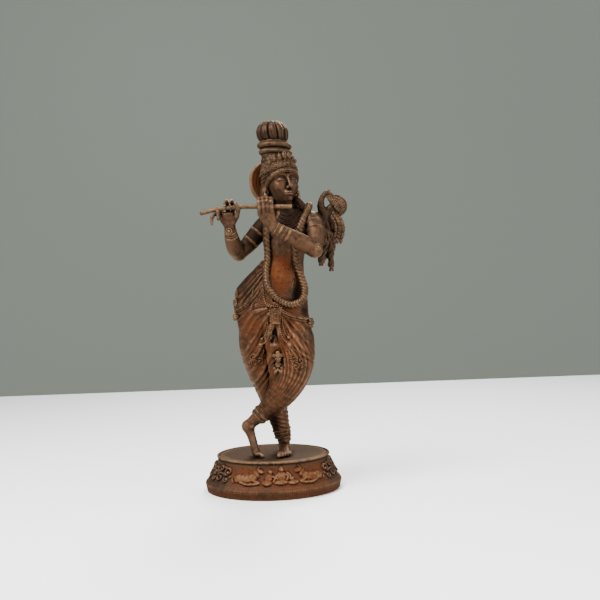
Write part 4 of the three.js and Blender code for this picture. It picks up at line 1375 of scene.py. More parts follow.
def relief(place, at, hand, bosses, strokes):
    """The highest of bosses [x, y, along, up, lean, height] and strokes [points, width, height].

    Sizes are millimetres on the wall; x is counted from at, towards hand.
    """
    made = [
        high * relief_shape(place, (at + hand * x, y), along, up, -hand * lean)
        for x, y, along, up, lean, high in bosses
    ]
    for points, width, high in strokes:
        made.append(high * relief_line(place, [(at + hand * x, y) for x, y in points], width))
    return np.maximum.reduce(made)


RESTING_COW = (
    [
        (-1, 7.6, 7.2, 3.3, 0, 1),
        (-6.2, 7.4, 3.2, 3.6, 0.2, 1),
        (3.6, 8.6, 2.9, 3.4, -0.5, 1),
        (5.6, 11.4, 1.8, 3.6, -0.5, 0.95),
        (8, 13.4, 2.9, 1.6, 0.5, 1.05),
        (6.2, 14.9, 1, 0.8, -0.6, 1),
    ],
    [
        ([(7.2, 15), (6.8, 16.2), (7.6, 16.8)], 0.45, 0.8),
        ([(4.4, 6.2), (7.4, 4.6), (4.2, 3.6), (2.2, 3.6)], 1.1, 0.85),
        ([(-4, 4.8), (-0.4, 3.5), (2, 3.3)], 1.15, 0.85),
        ([(-9, 8.6), (-10.2, 6.2), (-8.8, 4)], 0.55, 0.8),
    ],
)
# Two seated people and what they tend
HERDERS = (
    [
        (1.2, 9.2, 2.9, 4.2, -0.1, 1),
        (1.4, 14.4, 1.8, 2, 0, 1.1),
        (1.4, 16.2, 1.1, 1, 0, 1),
        (0.6, 4.8, 5, 1.9, 0, 1),
        (-6.4, 8.4, 2.5, 3.6, 0.25, 0.95),
        (-5.6, 12.9, 1.7, 1.8, 0, 1),
        (-7.6, 4.6, 3.4, 2.3, 0, 1.05),
        (8.2, 4.4, 3.6, 1.9, -0.1, 0.95),
        (7.4, 7.4, 2, 1.8, 0, 0.85),
    ],
    [
        ([(2.6, 11.6), (5.2, 9.4), (4.4, 6.6)], 0.95, 0.8),
        ([(0, 11.4), (-2.2, 9), (-0.6, 7)], 0.95, 0.8),
        ([(-4.6, 9.4), (-2.6, 8.4), (-3.6, 5.6)], 0.9, 0.8),
        ([(5.2, 11.8), (6.8, 9.6), (6.6, 7.8)], 0.85, 0.85),
    ],
)
# Windings of foliage: x, y, radius, turns, way round, start and width
WINDINGS = [
    (-7.2, 11.6, 3.4, 1.1, 1, -1.2, 0.62),
    (-0.2, 6.4, 3.5, 1.15, -1, 2.2, 0.62),
    (6.6, 11.2, 3.5, 1.1, 1, -1.4, 0.62),
    (-6.8, 5.2, 2.1, 0.9, -1, 0.6, 0.55),
    (6.8, 4.8, 2, 0.9, 1, 2.6, 0.55),
    (0.4, 13.2, 2.3, 1, 1, 0.4, 0.55),
]
LEAVES = [(-3.6, 8.8, 0.7), (3.4, 13.6, -0.5), (-3.2, 14.2, 0.3), (9.6, 7.4, 0.9), (-9.8, 7.6, -0.9)]


def foliage_relief(place, at, hand):
    """A scroll of foliage with curls, leaves and a small flower; hand is the way it turns."""
    made = []
    for x, y, radius, turns, way, start, width in WINDINGS:
        points = [
            (at + hand * (x + across), y + up)
            for across, up in zip(*winding(radius, way * turns, start, 14, 0.72))
        ]
        made.append(relief_line(place, points, width))
        made.append(1.05 * relief_shape(place, points[-1], width * 1.5, width * 1.5))
    flower = at + hand * 2.8
    for a in circle(6):
        made.append(0.9 * relief_shape(place, (flower + 1.7 * math.cos(a), 9.6 + 1.7 * math.sin(a)), 1, 1))
    made.append(1.1 * relief_shape(place, (flower, 9.6), 0.9, 0.9))
    made.append(relief(place, at, hand, [(x, y, 1.9, 0.75, -lean, 0.8) for x, y, lean in LEAVES], []))
    return np.maximum.reduce(made)


def flare(share):
    """Half width and half depth of the carved side at a share of its height, in millimetres."""
    sunk = HOLLOW * np.sin(math.pi * share)
    wide = EDGE_WIDE + (TOP_WIDE - EDGE_WIDE) * share
    return wide - sunk, EDGE_DEEP + (TOP_DEEP - EDGE_DEEP) * share - sunk


def model_plinth(sizes):
    """The plinth as two forms: the ribbed band with the carved side, and the rope lip with the turned top."""
    angle = circle(1200)
    # How far along the wall each column is from the middle of the front, in millimetres
    mean = (EDGE_WIDE + EDGE_DEEP) / 2 - 4
    run = np.where(angle > math.pi, angle - FULL_TURN, angle) * mean
    rings = []

    def ring(z, wide, deep, out=0.0):
        normal = np.stack([np.sin(angle) / wide, -np.cos(angle) / deep], 1)
        normal /= np.linalg.norm(normal, axis=1, keepdims=True)
        x = wide * np.sin(angle) + normal[:, 0] * out
        y = -deep * np.cos(angle) + normal[:, 1] * out
        rings.append(np.stack([x, y, np.broadcast_to(z, x.shape)], 1))

    def band_ring(z, inset, out=0.0):
        ring(z, EDGE_WIDE - inset, EDGE_DEEP - inset, out)

    def top_ring(z, inset, out=0.0, share=1.0):
        ring(z, (TOP_WIDE - inset) * share, (TOP_DEEP - inset) * share, out)

    def form(every=1):
        made = wall(np.stack(rings)[:, ::-every] * MM)
        rings.clear()
        return made

    ribs = np.abs(np.cos(sizes.rib_count * angle / 2)) ** 0.8 - 1
    inset = LEDGE + FOOT
    band_ring(0, inset + 0.6)
    for share in np.linspace(0, 1, 9):
        rise = ease(share / 0.12) * ease((1 - share) / 0.12)
        band_ring(0.25 + (BAND - 0.55) * share, inset - FOOT * share, 0.42 * ribs * rise)
    band_ring(BAND - 0.15, LEDGE + 0.4)
    # Overhanging ledge, then the carved side
    carved = carved_heights(run, ribs, SHOULDER - BAND, sizes.relief_depth / MM)
    for row, share in zip(carved, np.linspace(0, 1, len(carved))):
        wide, deep = flare(share)
        edge = 0.5 * math.exp(-((share / 0.03) ** 2))
        ring(BAND + (SHOULDER - BAND) * share, wide - edge, deep - edge, row)
    side = form()
    # Rope lip
    top_ring(SHOULDER - 0.3, 2)
    thick = 0.78 * LIP
    for turn in np.radians([-80, -55, -30, -5, 20, 45, 70, 95, 120, 150]):
        rope = thick + 0.13 * np.cos(sizes.rope_strands * angle + 2.4 * turn)
        top_ring(SHOULDER + 1.1 * LIP + rope * math.sin(turn), 0.6, LIP - thick + rope * math.cos(turn))
    top_ring(PLINTH_TALL - 1.4, 2)
    lip = form()
    # Turned top with faint rings
    top_ring(PLINTH_TALL - 0.9, 1.2)
    for share in np.linspace(0.985, 0.03, 20):
        wave = 0.06 * math.cos(FULL_TURN * 6.5 * share) * (1 if share > 0.5 else 0.5)
        grain = 0.04 * np.cos(7 * angle + 19 * share) * np.cos(11 * angle - 43 * share)
        top_ring(PLINTH_TALL - 0.35 + (wave + grain) * min(1, 3 * share), 1.3, share=share)
    return side, joined([lip, form(4)])


def carved_heights(run, ribs, tall, depth):
    """Height of the carving over the carved side: rows go up the wall, columns round it."""
    rows = np.linspace(0, 1, 46)[:, None]
    # The ribs of the band reach up to a row of rounded ends, and the pictures start above them
    start = 0.15
    up = (rows - start) / (1 - start) * tall * 1.1 + 0 * run
    along = run + 0 * up
    place = (along, up)
    panel = np.abs(along)
    cows = np.maximum(relief(place, -20, 1, *RESTING_COW), relief(place, 20.5, -1, *RESTING_COW))
    made = np.where(panel < 33, np.maximum(cows, relief(place, 0, 1, *HERDERS)), 0)
    scrolls = []
    for at, hand in ((42.5, 1), (64, -1), (85.5, 1), (107, -1)):
        scrolls += [foliage_relief(place, at, hand), foliage_relief(place, -at, -hand)]
    back = run.max()
    scrolls.append(foliage_relief((np.where(along < 0, along + 2 * back, along), up), back, 1))
    made = np.maximum(made, 0.9 * np.maximum.reduce(scrolls) * ease((panel - 31) / 2))
    ground = 0.07 * np.cos(1.7 * along + 2 * np.sin(0.8 * up)) * np.cos(2.1 * up + 2 * np.sin(0.7 * along))
    chased = 1 + 0.07 * np.cos(3.1 * along + 2 * np.sin(1.3 * up)) * np.cos(2.7 * up + 2 * np.sin(along))
    pictures = (depth * made * chased * ease((1 - rows) / 0.08) - 0.45 + ground) * ease((rows - start) / 0.05)
    return pictures + 0.34 * ribs * ease(rows / 0.03) * ease((start - rows) / 0.04)


# Placing pieces


def placed(corners):
    """The figure's units as metres in the frame."""
    points = turned(np.asarray(corners) * MIL, FIGURE_TURN, 2)
    return points + [0, 0, figure_low.z]


def mesh_object(name, corners, faces):
    """A smooth mesh object in the scene."""
    mesh = bpy.data.meshes.new(name)
    mesh.from_pydata(corners, [], face_rows(faces))
    mesh.validate()
    mesh.shade_smooth()
    thing = bpy.data.objects.new(name, mesh)
    bpy.context.scene.collection.objects.link(thing)
    return thing


def add_piece(name, form, kind, tone=None, node=FIGURE_NODE):
    """Makes a form into a piece that stands for a node; tone gives how warm or dark it is at each corner."""
    corners, faces = form
    if node == FIGURE_NODE:
        built[name] = form
        piece = mesh_object(name, placed(corners), faces)
    else:
        piece = mesh_object(name, corners, faces)
    write_layer(piece.data, "tone", np.zeros(len(corners)) if tone is None else tone(corners))
    piece.data.materials.append(finish_of(kind))
    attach(piece, "root")
    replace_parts(piece, node)


def write_layer(mesh, name, values):
    """Keeps a number for each corner of a mesh, for its material to read."""
    layer = mesh.attributes.get(name) or mesh.attributes.new(name, "FLOAT", "POINT")
    layer.data.foreach_set("value", np.asarray(values, np.float32))


def toned(*patches):
    """Warm and dark patches in the front view, each [x, z, width, height, strength]; dark is below 0."""
    def tone(corners):
        total = np.zeros(len(corners))
        for x, z, wide, high, strength in patches:
            total += strength * np.exp(-((corners[:, 0] - x) / wide) ** 2 - ((corners[:, 2] - z) / high) ** 2)
        return np.clip(total * ease((40 - corners[:, 1]) / 40), -1, 1)
    return tone


# Dark patches below 0 are painted shade: on the figure's right hip, beside the belly, in the hollows under the
# plaque and beside the drops, and low between the feet; the others are warm copper.
cloth_tone = toned(
    (14, 330, 50, 95, 0.6), (70, 420, 50, 26, 0.5), (-60, 380, 34, 50, 0.35), (-72, 505, 48, 44, -0.75),
    (76, 480, 16, 18, -1.4), (102, 425, 16, 16, -1.4), (8, 356, 12, 22, -0.9), (18, 284, 13, 24, -0.8),
    (0, 90, 16, 40, -1.6),
)
# The belly patch is warm copper; the dark patches are painted shade on the chest under the arms, under the
# chin and at the side of the waist.
body_tone = toned(
    (34, 538, 35, 58, 1.3), (54, 684, 70, 46, -0.9), (50, 750, 44, 40, -0.7), (80, 482, 16, 20, -1.5),
)
# Painted shade over the upper right arm, and a fainter dark patch on the outer fingers.
right_arm_tone = toned((-24, 664, 56, 50, -2.4), (-150, 700, 24, 30, -0.5))
flute_tone = toned((-150, 745, 110, 60, -0.24))
garland_tone = toned((-20, 640, 50, 130, -0.2))
foot_tone = toned((0, 20, 120, 60, -0.12))
# The dark patches are painted shade on the peacock and scarf behind the shoulder, strongest over the tassels.
peacock_tone = toned((180, 590, 80, 84, -1.1), (170, 700, 40, 60, -0.45), (215, 745, 40, 50, -0.35))
head_tone = toned((36, 815, 200, 200, -0.14))
halo_tone = toned((0, 822, 300, 300, 1.0))
crown_tone = toned((22, 925, 90, 90, -0.42))


def plinth_tone(corners):
    """Warm on the front panel with lighter figures, dark on the top, and a painted shadow under the lip."""
    x, y, z = (corners / MM).T
    height = z / PLINTH_TALL
    front = ease((-y - 12) / 14) * ease((34 - np.abs(x)) / 4)
    warm = 0.42 * front * ease((0.9 - height) / 0.1) * ease((height - 0.2) / 0.1)
    wide, deep = flare(np.clip((z - BAND) / (SHOULDER - BAND), 0, 1))
    raised = (np.hypot(x / wide, y / deep) - 1) * 36
    figures = ease(raised) * front * (height > 0.26) * (height < 0.88)
    disc = (height > 0.96) & (np.hypot(x / (TOP_WIDE - 1), y / (TOP_DEEP - 1)) < 0.995)
    # Painted shadow: a dark line just under the overhanging rope lip.
    under = np.exp(-(((height - 0.905) / 0.025) ** 2)) * (1 - disc)
    tone = warm * (1 - figures) + 1.42 * figures + 0.4 * ease((0.26 - height) / 0.05)
    sides = ease((np.abs(x) - 32) / 5) * ease((height - 0.24) / 0.05)
    return np.where(disc, -0.55, tone - 0.3 * sides) - 0.8 * under


# Wear and painted shade: where the metal is rubbed, and how shut in each corner is, which the finish paints as
# shade


SMOOTHINGS = 14
RIDGE_HEIGHT = 0.3 * MM  # a ridge this high is fully rubbed
LONGEST_EDGE = 2.5 * MM  # longer edges, such as those of flat ends, are passed over
CELL = 0.9 * MM  # of the grid that shelter is looked up in
BORDER = 0.012  # of that grid, round the solids
WAYS = 26
# How far the look-out for shelter goes, in millimetres, and how much a hit there counts
LOOKOUTS = ((2, 1), (3.4, 0.9), (5.2, 0.75), (8, 0.55), (12, 0.35))


def read_rows(items, name, width, kind=np.float32):
    """A row of numbers for each corner or edge of a mesh."""
    values = np.zeros(len(items) * width, kind)
    items.foreach_get(name, values)
    return values.reshape(-1, width)


def neighbour_mean(values, ends):
    """The mean of each corner's neighbours along the edges."""
    total = np.bincount(ends[:, 0], values[ends[:, 1]], len(values))
    total += np.bincount(ends[:, 1], values[ends[:, 0]], len(values))
    return total / np.maximum(np.bincount(ends.ravel(), minlength=len(values)), 1)


def ridge_layer(points, out, ends):
    """How far each corner stands out of its smoothed surroundings."""
    smooth = points
    for _ in range(SMOOTHINGS):
        smooth = 0.4 * smooth + 0.6 * np.stack([neighbour_mean(column, ends) for column in smooth.T], 1)
    ridge = np.sum((points - smooth) * out, 1) / RIDGE_HEIGHT
    for _ in range(2):
        ridge = 0.5 * ridge + 0.5 * neighbour_mean(ridge, ends)
    return np.clip(ridge, -1.5, 1.5)


def wear_and_shade_layers(pieces):
    """Writes how much each corner stands out of its surroundings, and how shut in it is, which the finish
    paints as shade.
    """
    low = np.array(cad_box[0]) - BORDER
    counts = np.ceil((np.array(cad_box[1]) + BORDER - low) / CELL).astype(int)
    crowd = np.zeros(counts, bool)

    def cells(places):
        return tuple(np.clip(((places - low) / CELL).astype(int), 0, counts - 1).T)

    kept = []
    for piece in pieces:
        mesh = piece.data
        points = read_rows(mesh.vertices, "co", 3).astype(float)
        out = read_rows(mesh.vertices, "normal", 3).astype(float)
        ends = read_rows(mesh.edges, "vertices", 2, np.int32)
        ends = ends[np.linalg.norm(points[ends[:, 0]] - points[ends[:, 1]], axis=1) < LONGEST_EDGE]
        kept.append((mesh, points, out, ends))
        crowd[cells(points)] = True
    turn = math.pi * (3 - math.sqrt(5)) * np.arange(WAYS)
    tilt = 1 - 2 * (np.arange(WAYS) + 0.5) / WAYS
    flat = np.sqrt(1 - tilt**2)
    ways = np.stack([flat * np.cos(turn), flat * np.sin(turn), tilt], 1)
    for mesh, points, out, ends in kept:
        shut, weight = np.zeros(len(points)), np.zeros(len(points))
        for way in ways:
            facing = out @ way
            used = facing > 0.2
            blocked = np.zeros(int(used.sum()))
            base = points[used] + out[used] * 1.2 * MM
            for far, strength in LOOKOUTS:
                blocked = np.maximum(blocked, strength * crowd[cells(base + way * far * MM)])
            shut[used] += facing[used] * blocked
            weight[used] += facing[used]
        write_layer(mesh, "ridge", ridge_layer(points, out, ends))
        # The shelter layer is read by the finish as painted shade.
        write_layer(mesh, "shelter", shut / np.maximum(weight, 1e-6))


# Materials


class Channel:
    """One socket of a material's nodes; arithmetic on it adds the Math nodes."""

    def __init__(self, tree, socket):
        self.tree = tree
        self.socket = socket

    def _math(self, operation, first, second=None):
        node = self.tree.nodes.new("ShaderNodeMath")
        node.operation = operation
        for index, value in enumerate((first, second)):
            if isinstance(value, Channel):
                self.tree.links.new(value.socket, node.inputs[index])
            elif value is not None:
                node.inputs[index].default_value = value
        return Channel(self.tree, node.outputs[0])

    def __add__(self, other):
        return self._math("ADD", self, other)

    def __radd__(self, other):
        return self._math("ADD", other, self)

    def __sub__(self, other):
        return self._math("SUBTRACT", self, other)

    def __rsub__(self, other):
        return self._math("SUBTRACT", other, self)

    def __mul__(self, other):
        return self._math("MULTIPLY", self, other)

    def __rmul__(self, other):
        return self._math("MULTIPLY", other, self)

    def limited(self):
        """The same value kept between 0 and 1."""
        return self._math("MINIMUM", self._math("MAXIMUM", self, 0.0), 1.0)


class Finish:
    """A material under construction."""

    def __init__(self, name):
        self.material = bpy.data.materials.new(name)
        self.material.use_nodes = True
        self.tree = self.material.node_tree
        self.tree.nodes.clear()

    def node(self, kind, settings=None, inputs=None, output=0):
        """A node of one kind: its settings are set first, then its inputs are set or linked."""
        node = self.tree.nodes.new(kind)
        for name, value in (settings or {}).items():
            setattr(node, name, value)
        for name, value in (inputs or {}).items():
            if isinstance(value, Channel):
                self.tree.links.new(value.socket, node.inputs[name])
            else:
                node.inputs[name].default_value = value
        return Channel(self.tree, node.outputs[output]) if node.outputs else None

    def layer(self, name):
        """A number kept for each corner of the mesh."""
        return self.node("ShaderNodeAttribute", {"attribute_name": name}, output=2)

    def noise(self, scale, detail):
        """Cloudy noise with scale clouds to the metre."""
        place = self.node("ShaderNodeTexCoord", output=3)
        return self.node("ShaderNodeTexNoise", inputs={"Vector": place, "Scale": scale, "Detail": detail})

    def mix(self, share, first, second):
        """A colour between two colours."""
        return self.node("ShaderNodeMix", {"data_type": "RGBA"}, {0: share, 6: first, 7: second}, output=2)

    def painted(self, inputs):
        """The material, with a principled shader of these inputs."""
        shader = self.node("ShaderNodeBsdfPrincipled", inputs=inputs)
        self.node("ShaderNodeOutputMaterial", inputs={"Surface": shader})
        return self.material


def patina(name, colours, body, polish, tan_share=1.0, metallic=0.5, dirt_and_shade=1.0):
    """Antique copper paint: darker in concave creases from its patina, with painted shade where corners are
    shut in and where tone is below 0; rubbed in spots on the ridges, orange in warm patches.
    """
    finish = Finish(name)
    ridge, shelter, tone = finish.layer("ridge"), finish.layer("shelter"), finish.layer("tone")
    broad, middle, fine = finish.noise(70, 4), finish.noise(420, 5), finish.noise(1900, 3)
    dots = finish.noise(820, 2)
    mottle = ((middle - 0.5) * 2.4 + (broad - 0.5) * 2.2 + 0.6).limited()
    colour = finish.mix(mottle, tuple(colours.brown), tuple(body))
    warmth = ((tone + (broad - 0.5) * 0.9 + (middle - 0.5) * 1.3) * 1.1).limited()
    colour = finish.mix(warmth, colour, tuple(colours.copper))
    spots = ((middle - 0.5) * 4.5 + (broad - 0.5) * 2.5 + 0.5).limited()
    worn = ridge - 0.12 + (fine - 0.5) * 0.9 - shelter * 0.8
    rubbed = (worn * (spots * 0.9 + 0.3) * tan_share).limited() * (ridge * 4.0).limited()
    rubbed = (rubbed + (tone - 1.0).limited() * (spots * 1.4 + 0.2)).limited()
    colour = finish.mix(rubbed * 0.9, colour, tuple(colours.tan))
    # Painted shade: corners that the shelter layer finds shut in, and places where tone is below 0, are mixed
    # towards the deep colour and given more metal; only the darkening of concave creases is the patina's own.
    hollow = (shelter - 0.18) * 2.1 - ridge * 1.5 + (middle - 0.5) * 1.1
    specks = ((0.42 - dots) * 7.0).limited() * (warmth * 0.9 + 0.1)
    grime_and_shade = ((hollow.limited() * dirt_and_shade + tone * -0.9).limited() + specks * 0.8).limited()
    colour = finish.mix(grime_and_shade * 0.93, colour, tuple(colours.deep))
    pores = middle * 0.6 + fine * 0.5
    bump = finish.node("ShaderNodeBump", inputs={"Strength": 0.55, "Distance": 0.3 * MM, "Height": pores})
    roughness = polish + (fine - 0.5) * 0.25 + (middle - 0.5) * 0.2 + grime_and_shade * 0.2 + warmth * 0.25
    return finish.painted({
        "Base Color": colour,
        "Metallic": (metallic + grime_and_shade * 0.3).limited(),
        "Roughness": roughness.limited(),
        "Specular IOR Level": 0.2,
        "Specular Tint": (1.0, 0.72, 0.52, 1.0),
        "Normal": bump,
    })


def finish_of(kind):
    """The finish of one kind of surface, made once."""
    name = "patina_" + kind
    if name in bpy.data.materials:
        return bpy.data.materials[name]
    colours = bpy.context.scene.statue_colours
    # The darkening factor of some kinds scales painted shade in shut-in corners together with the patina's
    # darkening of creases.
    kinds = {
        "skin": dict(body=colours.skin, polish=0.46, dirt_and_shade=0.9),
        "cloth": dict(body=colours.cloth, polish=0.47, dirt_and_shade=1.15),
        "sash": dict(body=colours.cloth, polish=0.46, tan_share=0.3),
        "dark": dict(body=colours.dark, polish=0.46, tan_share=0.42, dirt_and_shade=1.3),
        "trim": dict(body=colours.trim, polish=0.48, tan_share=0.72),
        "plinth": dict(body=colours.plinth, polish=0.58, metallic=0.3),
    }
    return patina(name, colours, **kinds[kind])


# Properties


def colour(label, value, about):
    return bpy.props.FloatVectorProperty(
        name=label, description=about, default=(*value, 1), size=4, min=0, max=1, subtype="COLOR"
    )


def length(label, value, least, about):
    return bpy.props.FloatProperty(name=label, description=about, default=value, min=least, unit="LENGTH")


def number(label, value, about):
    return bpy.props.IntProperty(name=label, description=about, default=value, min=12)


def power(label, value, about):
    return bpy.props.FloatProperty(name=label, description=about, default=value, min=0, unit="POWER")


class StatueColours(bpy.types.PropertyGroup):
    """The colours of the patina."""

    # Deep is the patina's dark in creases and also the painted shade of shut-in corners and dark tone patches.
    deep: colour("Deep", (0.0012, 0.0009, 0.0008), "Dirt in the hollows")
    brown: colour("Brown", (0.0085, 0.0036, 0.002), "The paint's dark tone")
    copper: colour("Copper", (0.042, 0.0086, 0.0009), "The warm patches")
    tan: colour("Tan", (0.086, 0.048, 0.0245), "Rubbed ridges")
    skin: colour("Skin", (0.039, 0.0182, 0.0094), "Bare skin, arm jewels and the disc")
    cloth: colour("Cloth", (0.034, 0.0118, 0.0044), "Pleated cloth")
    dark: colour("Hair and crown", (0.014, 0.0062, 0.0036), "Hair, crown, necklaces and peacock")
    trim: colour("Trim", (0.032, 0.0158, 0.0078), "Garland, beads and flute")
    plinth: colour("Plinth", (0.024, 0.0102, 0.005), "Plinth")


class StatueSizes(bpy.types.PropertyGroup):
    """The sizes of the figure's carving."""

    body_grain: length("Body grain", 0.00052, 0.0004, "Mesh size on the body and cloth")
    hand_grain: length("Hand grain", 0.00046, 0.0003, "Mesh size on the arms, hands and feet")
    face_grain: length("Face grain", 0.00036, 0.00025, "Mesh size on the head")
    fold_depth: length("Fold depth", 0.0014, 0, "Height of the cloth's folds")
    garland_flowers: number("Garland flowers", 84, "Flowers along the garland")


class PlinthSizes(bpy.types.PropertyGroup):
    """The sizes of the plinth's carving."""

    rib_count: number("Ribs", 240, "Ribs round the lower band")
    rope_strands: number("Rope strands", 190, "Strands of the lip")
    relief_depth: length("Relief depth", 0.0017, 0, "How far the animals and scrolls stand out")


class StudioSettings(bpy.types.PropertyGroup):
    """The light and floor."""

    key_power: power("Key", 36, "Power of the main light")
    fill_power: power("Fill", 12, "Power of the side light")
    rim_power: power("Rim", 11, "Power of the light behind")
    sky: bpy.props.FloatProperty(name="Sky", description="Strength of the even light", default=2.3, min=0)
    floor: colour("Table", (0.93, 0.94, 0.93), "The table's colour")
    wall: colour("Wall", (0.09, 0.1, 0.084), "The colour of the wall behind")


# Operators


class STATUE_OT_cloth(bpy.types.Operator):
    """Model the pleated cloth of the legs and hips"""

    bl_idname = "statue.cloth"
    bl_label = "Pleated Cloth"

    def execute(self, context):
        sizes = context.scene.statue_sizes
        form = model_cloth(sizes.body_grain / MIL, sizes.fold_depth / MIL)
        add_piece("pleated_cloth", form, "cloth", cloth_tone)
        return {"FINISHED"}


class STATUE_OT_body(bpy.types.Operator):
    """Model the chest, belly and neck, and the two feet"""

    bl_idname = "statue.body"
    bl_label = "Body and Feet"

    def execute(self, context):
        sizes = context.scene.statue_sizes
        add_piece("body", model_torso(1.3 * sizes.body_grain / MIL), "skin", body_tone)
        add_piece("feet", model_feet(sizes.hand_grain / MIL), "skin", foot_tone)
        return {"FINISHED"}


class STATUE_OT_arms(bpy.types.Operator):
    """Model the arms and hands, and the flute that they hold"""

    bl_idname = "statue.arms"
    bl_label = "Arms and Flute"

    def execute(self, context):
        left, right = model_arms(context.scene.statue_sizes.hand_grain / MIL)
        add_piece("left_arm", left, "skin")
        add_piece("right_arm", right, "skin", right_arm_tone)
        add_piece("flute", model_flute(), "trim", flute_tone)
        return {"FINISHED"}


class STATUE_OT_head(bpy.types.Operator):
    """Model the head and its long hair"""

    bl_idname = "statue.head"
    bl_label = "Head and Hair"

    def execute(self, context):
        form = model_head(context.scene.statue_sizes.face_grain / MIL)
        add_piece("head", form, "skin", head_tone)
        add_piece("hair", model_hair(), "dark")
        return {"FINISHED"}


class STATUE_OT_crown(bpy.types.Operator):
    """Model the crown, diadem, ear drops and the disc behind the head"""

    bl_idname = "statue.crown"
    bl_label = "Crown and Disc"

    def execute(self, context):
        add_piece("crown", model_crown(), "dark", crown_tone)
        add_piece("diadem", model_diadem(), "dark", crown_tone)
        add_piece("ear_drops", model_ear_drops(), "trim")
        add_piece("halo", model_halo(), "skin", halo_tone)
        return {"FINISHED"}


class STATUE_OT_ornaments(bpy.types.Operator):
    """Model the garland, necklaces, armlets, girdle and anklets"""

    bl_idname = "statue.ornaments"
    bl_label = "Ornaments"

    def execute(self, context):
        skin = Skin("body", "pleated_cloth")
        flowers = context.scene.statue_sizes.garland_flowers
        add_piece("garland", model_garland(skin, flowers), "trim", garland_tone)
        add_piece("necklaces", model_necklaces(skin), "dark", body_tone)
        add_piece("belly_chain", model_belly_chain(skin), "skin", body_tone)
        add_piece("arm_jewels", model_arm_jewels(), "skin")
        add_piece("girdle", model_girdle(skin), "trim", cloth_tone)
        add_piece("sash_ends", sash_curls(skin), "sash", cloth_tone)
        add_piece("anklets", model_anklets(), "dark")
        return {"FINISHED"}


class STATUE_OT_peacock(bpy.types.Operator):
    """Model the peacock and the scarf behind the left shoulder"""

    bl_idname = "statue.peacock"
    bl_label = "Peacock"

    def execute(self, context):
        form = model_peacock(context.scene.statue_sizes.hand_grain / MIL)
        add_piece("peacock", form, "dark", peacock_tone)
        add_piece("feathers", model_feathers(), "dark", peacock_tone)
        return {"FINISHED"}


class STATUE_OT_plinth(bpy.types.Operator):
    """Model the plinth with its ribs, reliefs and rope lip"""

    bl_idname = "statue.plinth"
    bl_label = "Plinth"

    def execute(self, context):
        forms = model_plinth(context.scene.plinth_sizes)
        for name, form in zip(("carved_plinth", "plinth_top"), forms):
            add_piece(name, form, "plinth", plinth_tone, PLINTH_NODE)
        return {"FINISHED"}


class STATUE_OT_wear_and_shade(bpy.types.Operator):
    """Work out where the finish is rubbed, and how shut in each corner is for its painted shade"""

    bl_idname = "statue.wear"
    bl_label = "Wear"

    def execute(self, context):
        wear_and_shade_layers([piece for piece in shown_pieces() if "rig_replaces" in piece])
        return {"FINISHED"}


class STATUE_OT_stage(bpy.types.Operator):
    """Set the floor, the lights and the camera"""

    bl_idname = "statue.stage"
    bl_label = "Stage"

    def execute(self, context):
        settings = context.scene.studio
        make_floor(settings)
        make_lights(settings)
        make_camera()
        return {"FINISHED"}


def make_floor(settings):
    """A pale table, and a plain grey-green wall far behind it."""
    table = mesh_object("table", *slab([-4, -3, -0.03], [4, 0.56, 0]))
    wall_far = mesh_object("backdrop", *slab([-6, 2.4, -2], [6, 2.43, 5]))
    for thing, tint in ((table, settings.floor), (wall_far, settings.wall)):
        paint = Finish(thing.name + "_paint").painted({"Base Color": tuple(tint), "Roughness": 0.6})
        thing.data.materials.append(paint)
    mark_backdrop(table, wall_far)


def slab(low, high):
    """A plain block between two corners."""
    pairs = list(zip(low, high))
    corners = np.array([[x, y, z] for x in pairs[0] for y in pairs[1] for z in pairs[2]])
    faces = [[0, 1, 3, 2], [4, 6, 7, 5], [0, 4, 5, 1], [2, 3, 7, 6], [0, 2, 6, 4], [1, 5, 7, 3]]
    return corners, np.array(faces)


def make_light(name, place, size, power):
    """A soft round lamp that points at the figure's middle."""
    light = bpy.data.lights.new(name, "AREA")
    light.shape = "DISK"
    light.size = size
    light.energy = power
    thing = bpy.data.objects.new(name, light)
    thing.location = place
    thing.rotation_euler = (Vector((0, 0, 0.13)) - Vector(place)).to_track_quat("-Z", "Y").to_euler()
    bpy.context.scene.collection.objects.link(thing)


def make_lights(settings):
    """Three lamps and an even sky."""
    make_light("key_light", (-0.45, -0.35, 0.85), 0.5, settings.key_power)
    make_light("fill_light", (0.7, -0.6, 0.4), 0.7, settings.fill_power)
    make_light("rim_light", (0.25, 0.6, 0.7), 0.5, settings.rim_power)
    world = bpy.data.worlds.new("studio")
    world.use_nodes = True
    sky = world.node_tree.nodes["Background"]
    sky.inputs["Color"].default_value = (0.86, 0.9, 0.88, 1)
    sky.inputs["Strength"].default_value = settings.sky
    bpy.context.scene.world = world


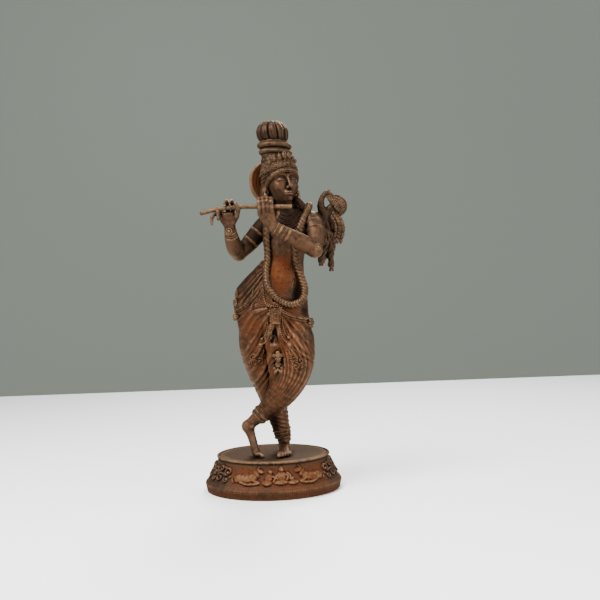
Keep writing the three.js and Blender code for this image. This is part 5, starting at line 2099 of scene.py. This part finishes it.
def make_camera():
    """The camera of the picture: about the figure's mid height, a little to its right, rolled slightly."""
    image_width, focal_pixels = 600, 815
    distance, height = 0.5566, 0.1368
    heading = unit([0.03625, 1, -0.01623])
    right = np.array([1, 0, -0.02])
    right = unit(right - heading * (heading @ right))
    up = np.cross(right, heading)
    turn = Matrix.Rotation(FIGURE_TURN, 3, "Z")
    camera = bpy.data.objects.new("camera", bpy.data.cameras.new("camera"))
    pose = Matrix(np.stack([right, up, -heading], 1).tolist())
    camera.matrix_world = Matrix.Translation(turn @ Vector((0, -distance, height))) @ (turn @ pose).to_4x4()
    camera.data.lens = camera.data.sensor_width * focal_pixels / image_width
    bpy.context.scene.collection.objects.link(camera)
    bpy.context.scene.camera = camera


class STATUE_PT_panel(bpy.types.Panel):
    """The statue's settings and steps"""

    bl_idname = "STATUE_PT_panel"
    bl_label = "Flute Player"
    bl_space_type = "VIEW_3D"
    bl_region_type = "UI"
    bl_category = "Flute Player"

    def draw(self, context):
        for group in GROUPS:
            settings = getattr(context.scene, group)
            for name in settings.__annotations__:
                self.layout.prop(settings, name)
        for step in STEPS:
            self.layout.operator(step.bl_idname)


GROUPS = {
    "statue_sizes": StatueSizes,
    "plinth_sizes": PlinthSizes,
    "statue_colours": StatueColours,
    "studio": StudioSettings,
}
STEPS = (
    STATUE_OT_cloth, STATUE_OT_body, STATUE_OT_arms, STATUE_OT_head, STATUE_OT_crown, STATUE_OT_ornaments,
    STATUE_OT_peacock, STATUE_OT_plinth, STATUE_OT_wear_and_shade, STATUE_OT_stage,
)


def register():
    for item in (*GROUPS.values(), *STEPS, STATUE_PT_panel):
        bpy.utils.register_class(item)
    for name, group in GROUPS.items():
        setattr(bpy.types.Scene, name, bpy.props.PointerProperty(type=group))


def unregister():
    for name in GROUPS:
        delattr(bpy.types.Scene, name)
    for item in (STATUE_PT_panel, *reversed(STEPS), *reversed(list(GROUPS.values()))):
        bpy.utils.unregister_class(item)


def main():
    register()
    for step in STEPS:
        family, name = step.bl_idname.split(".")
        getattr(getattr(bpy.ops, family), name)()


if __name__ == "__main__":
    main()
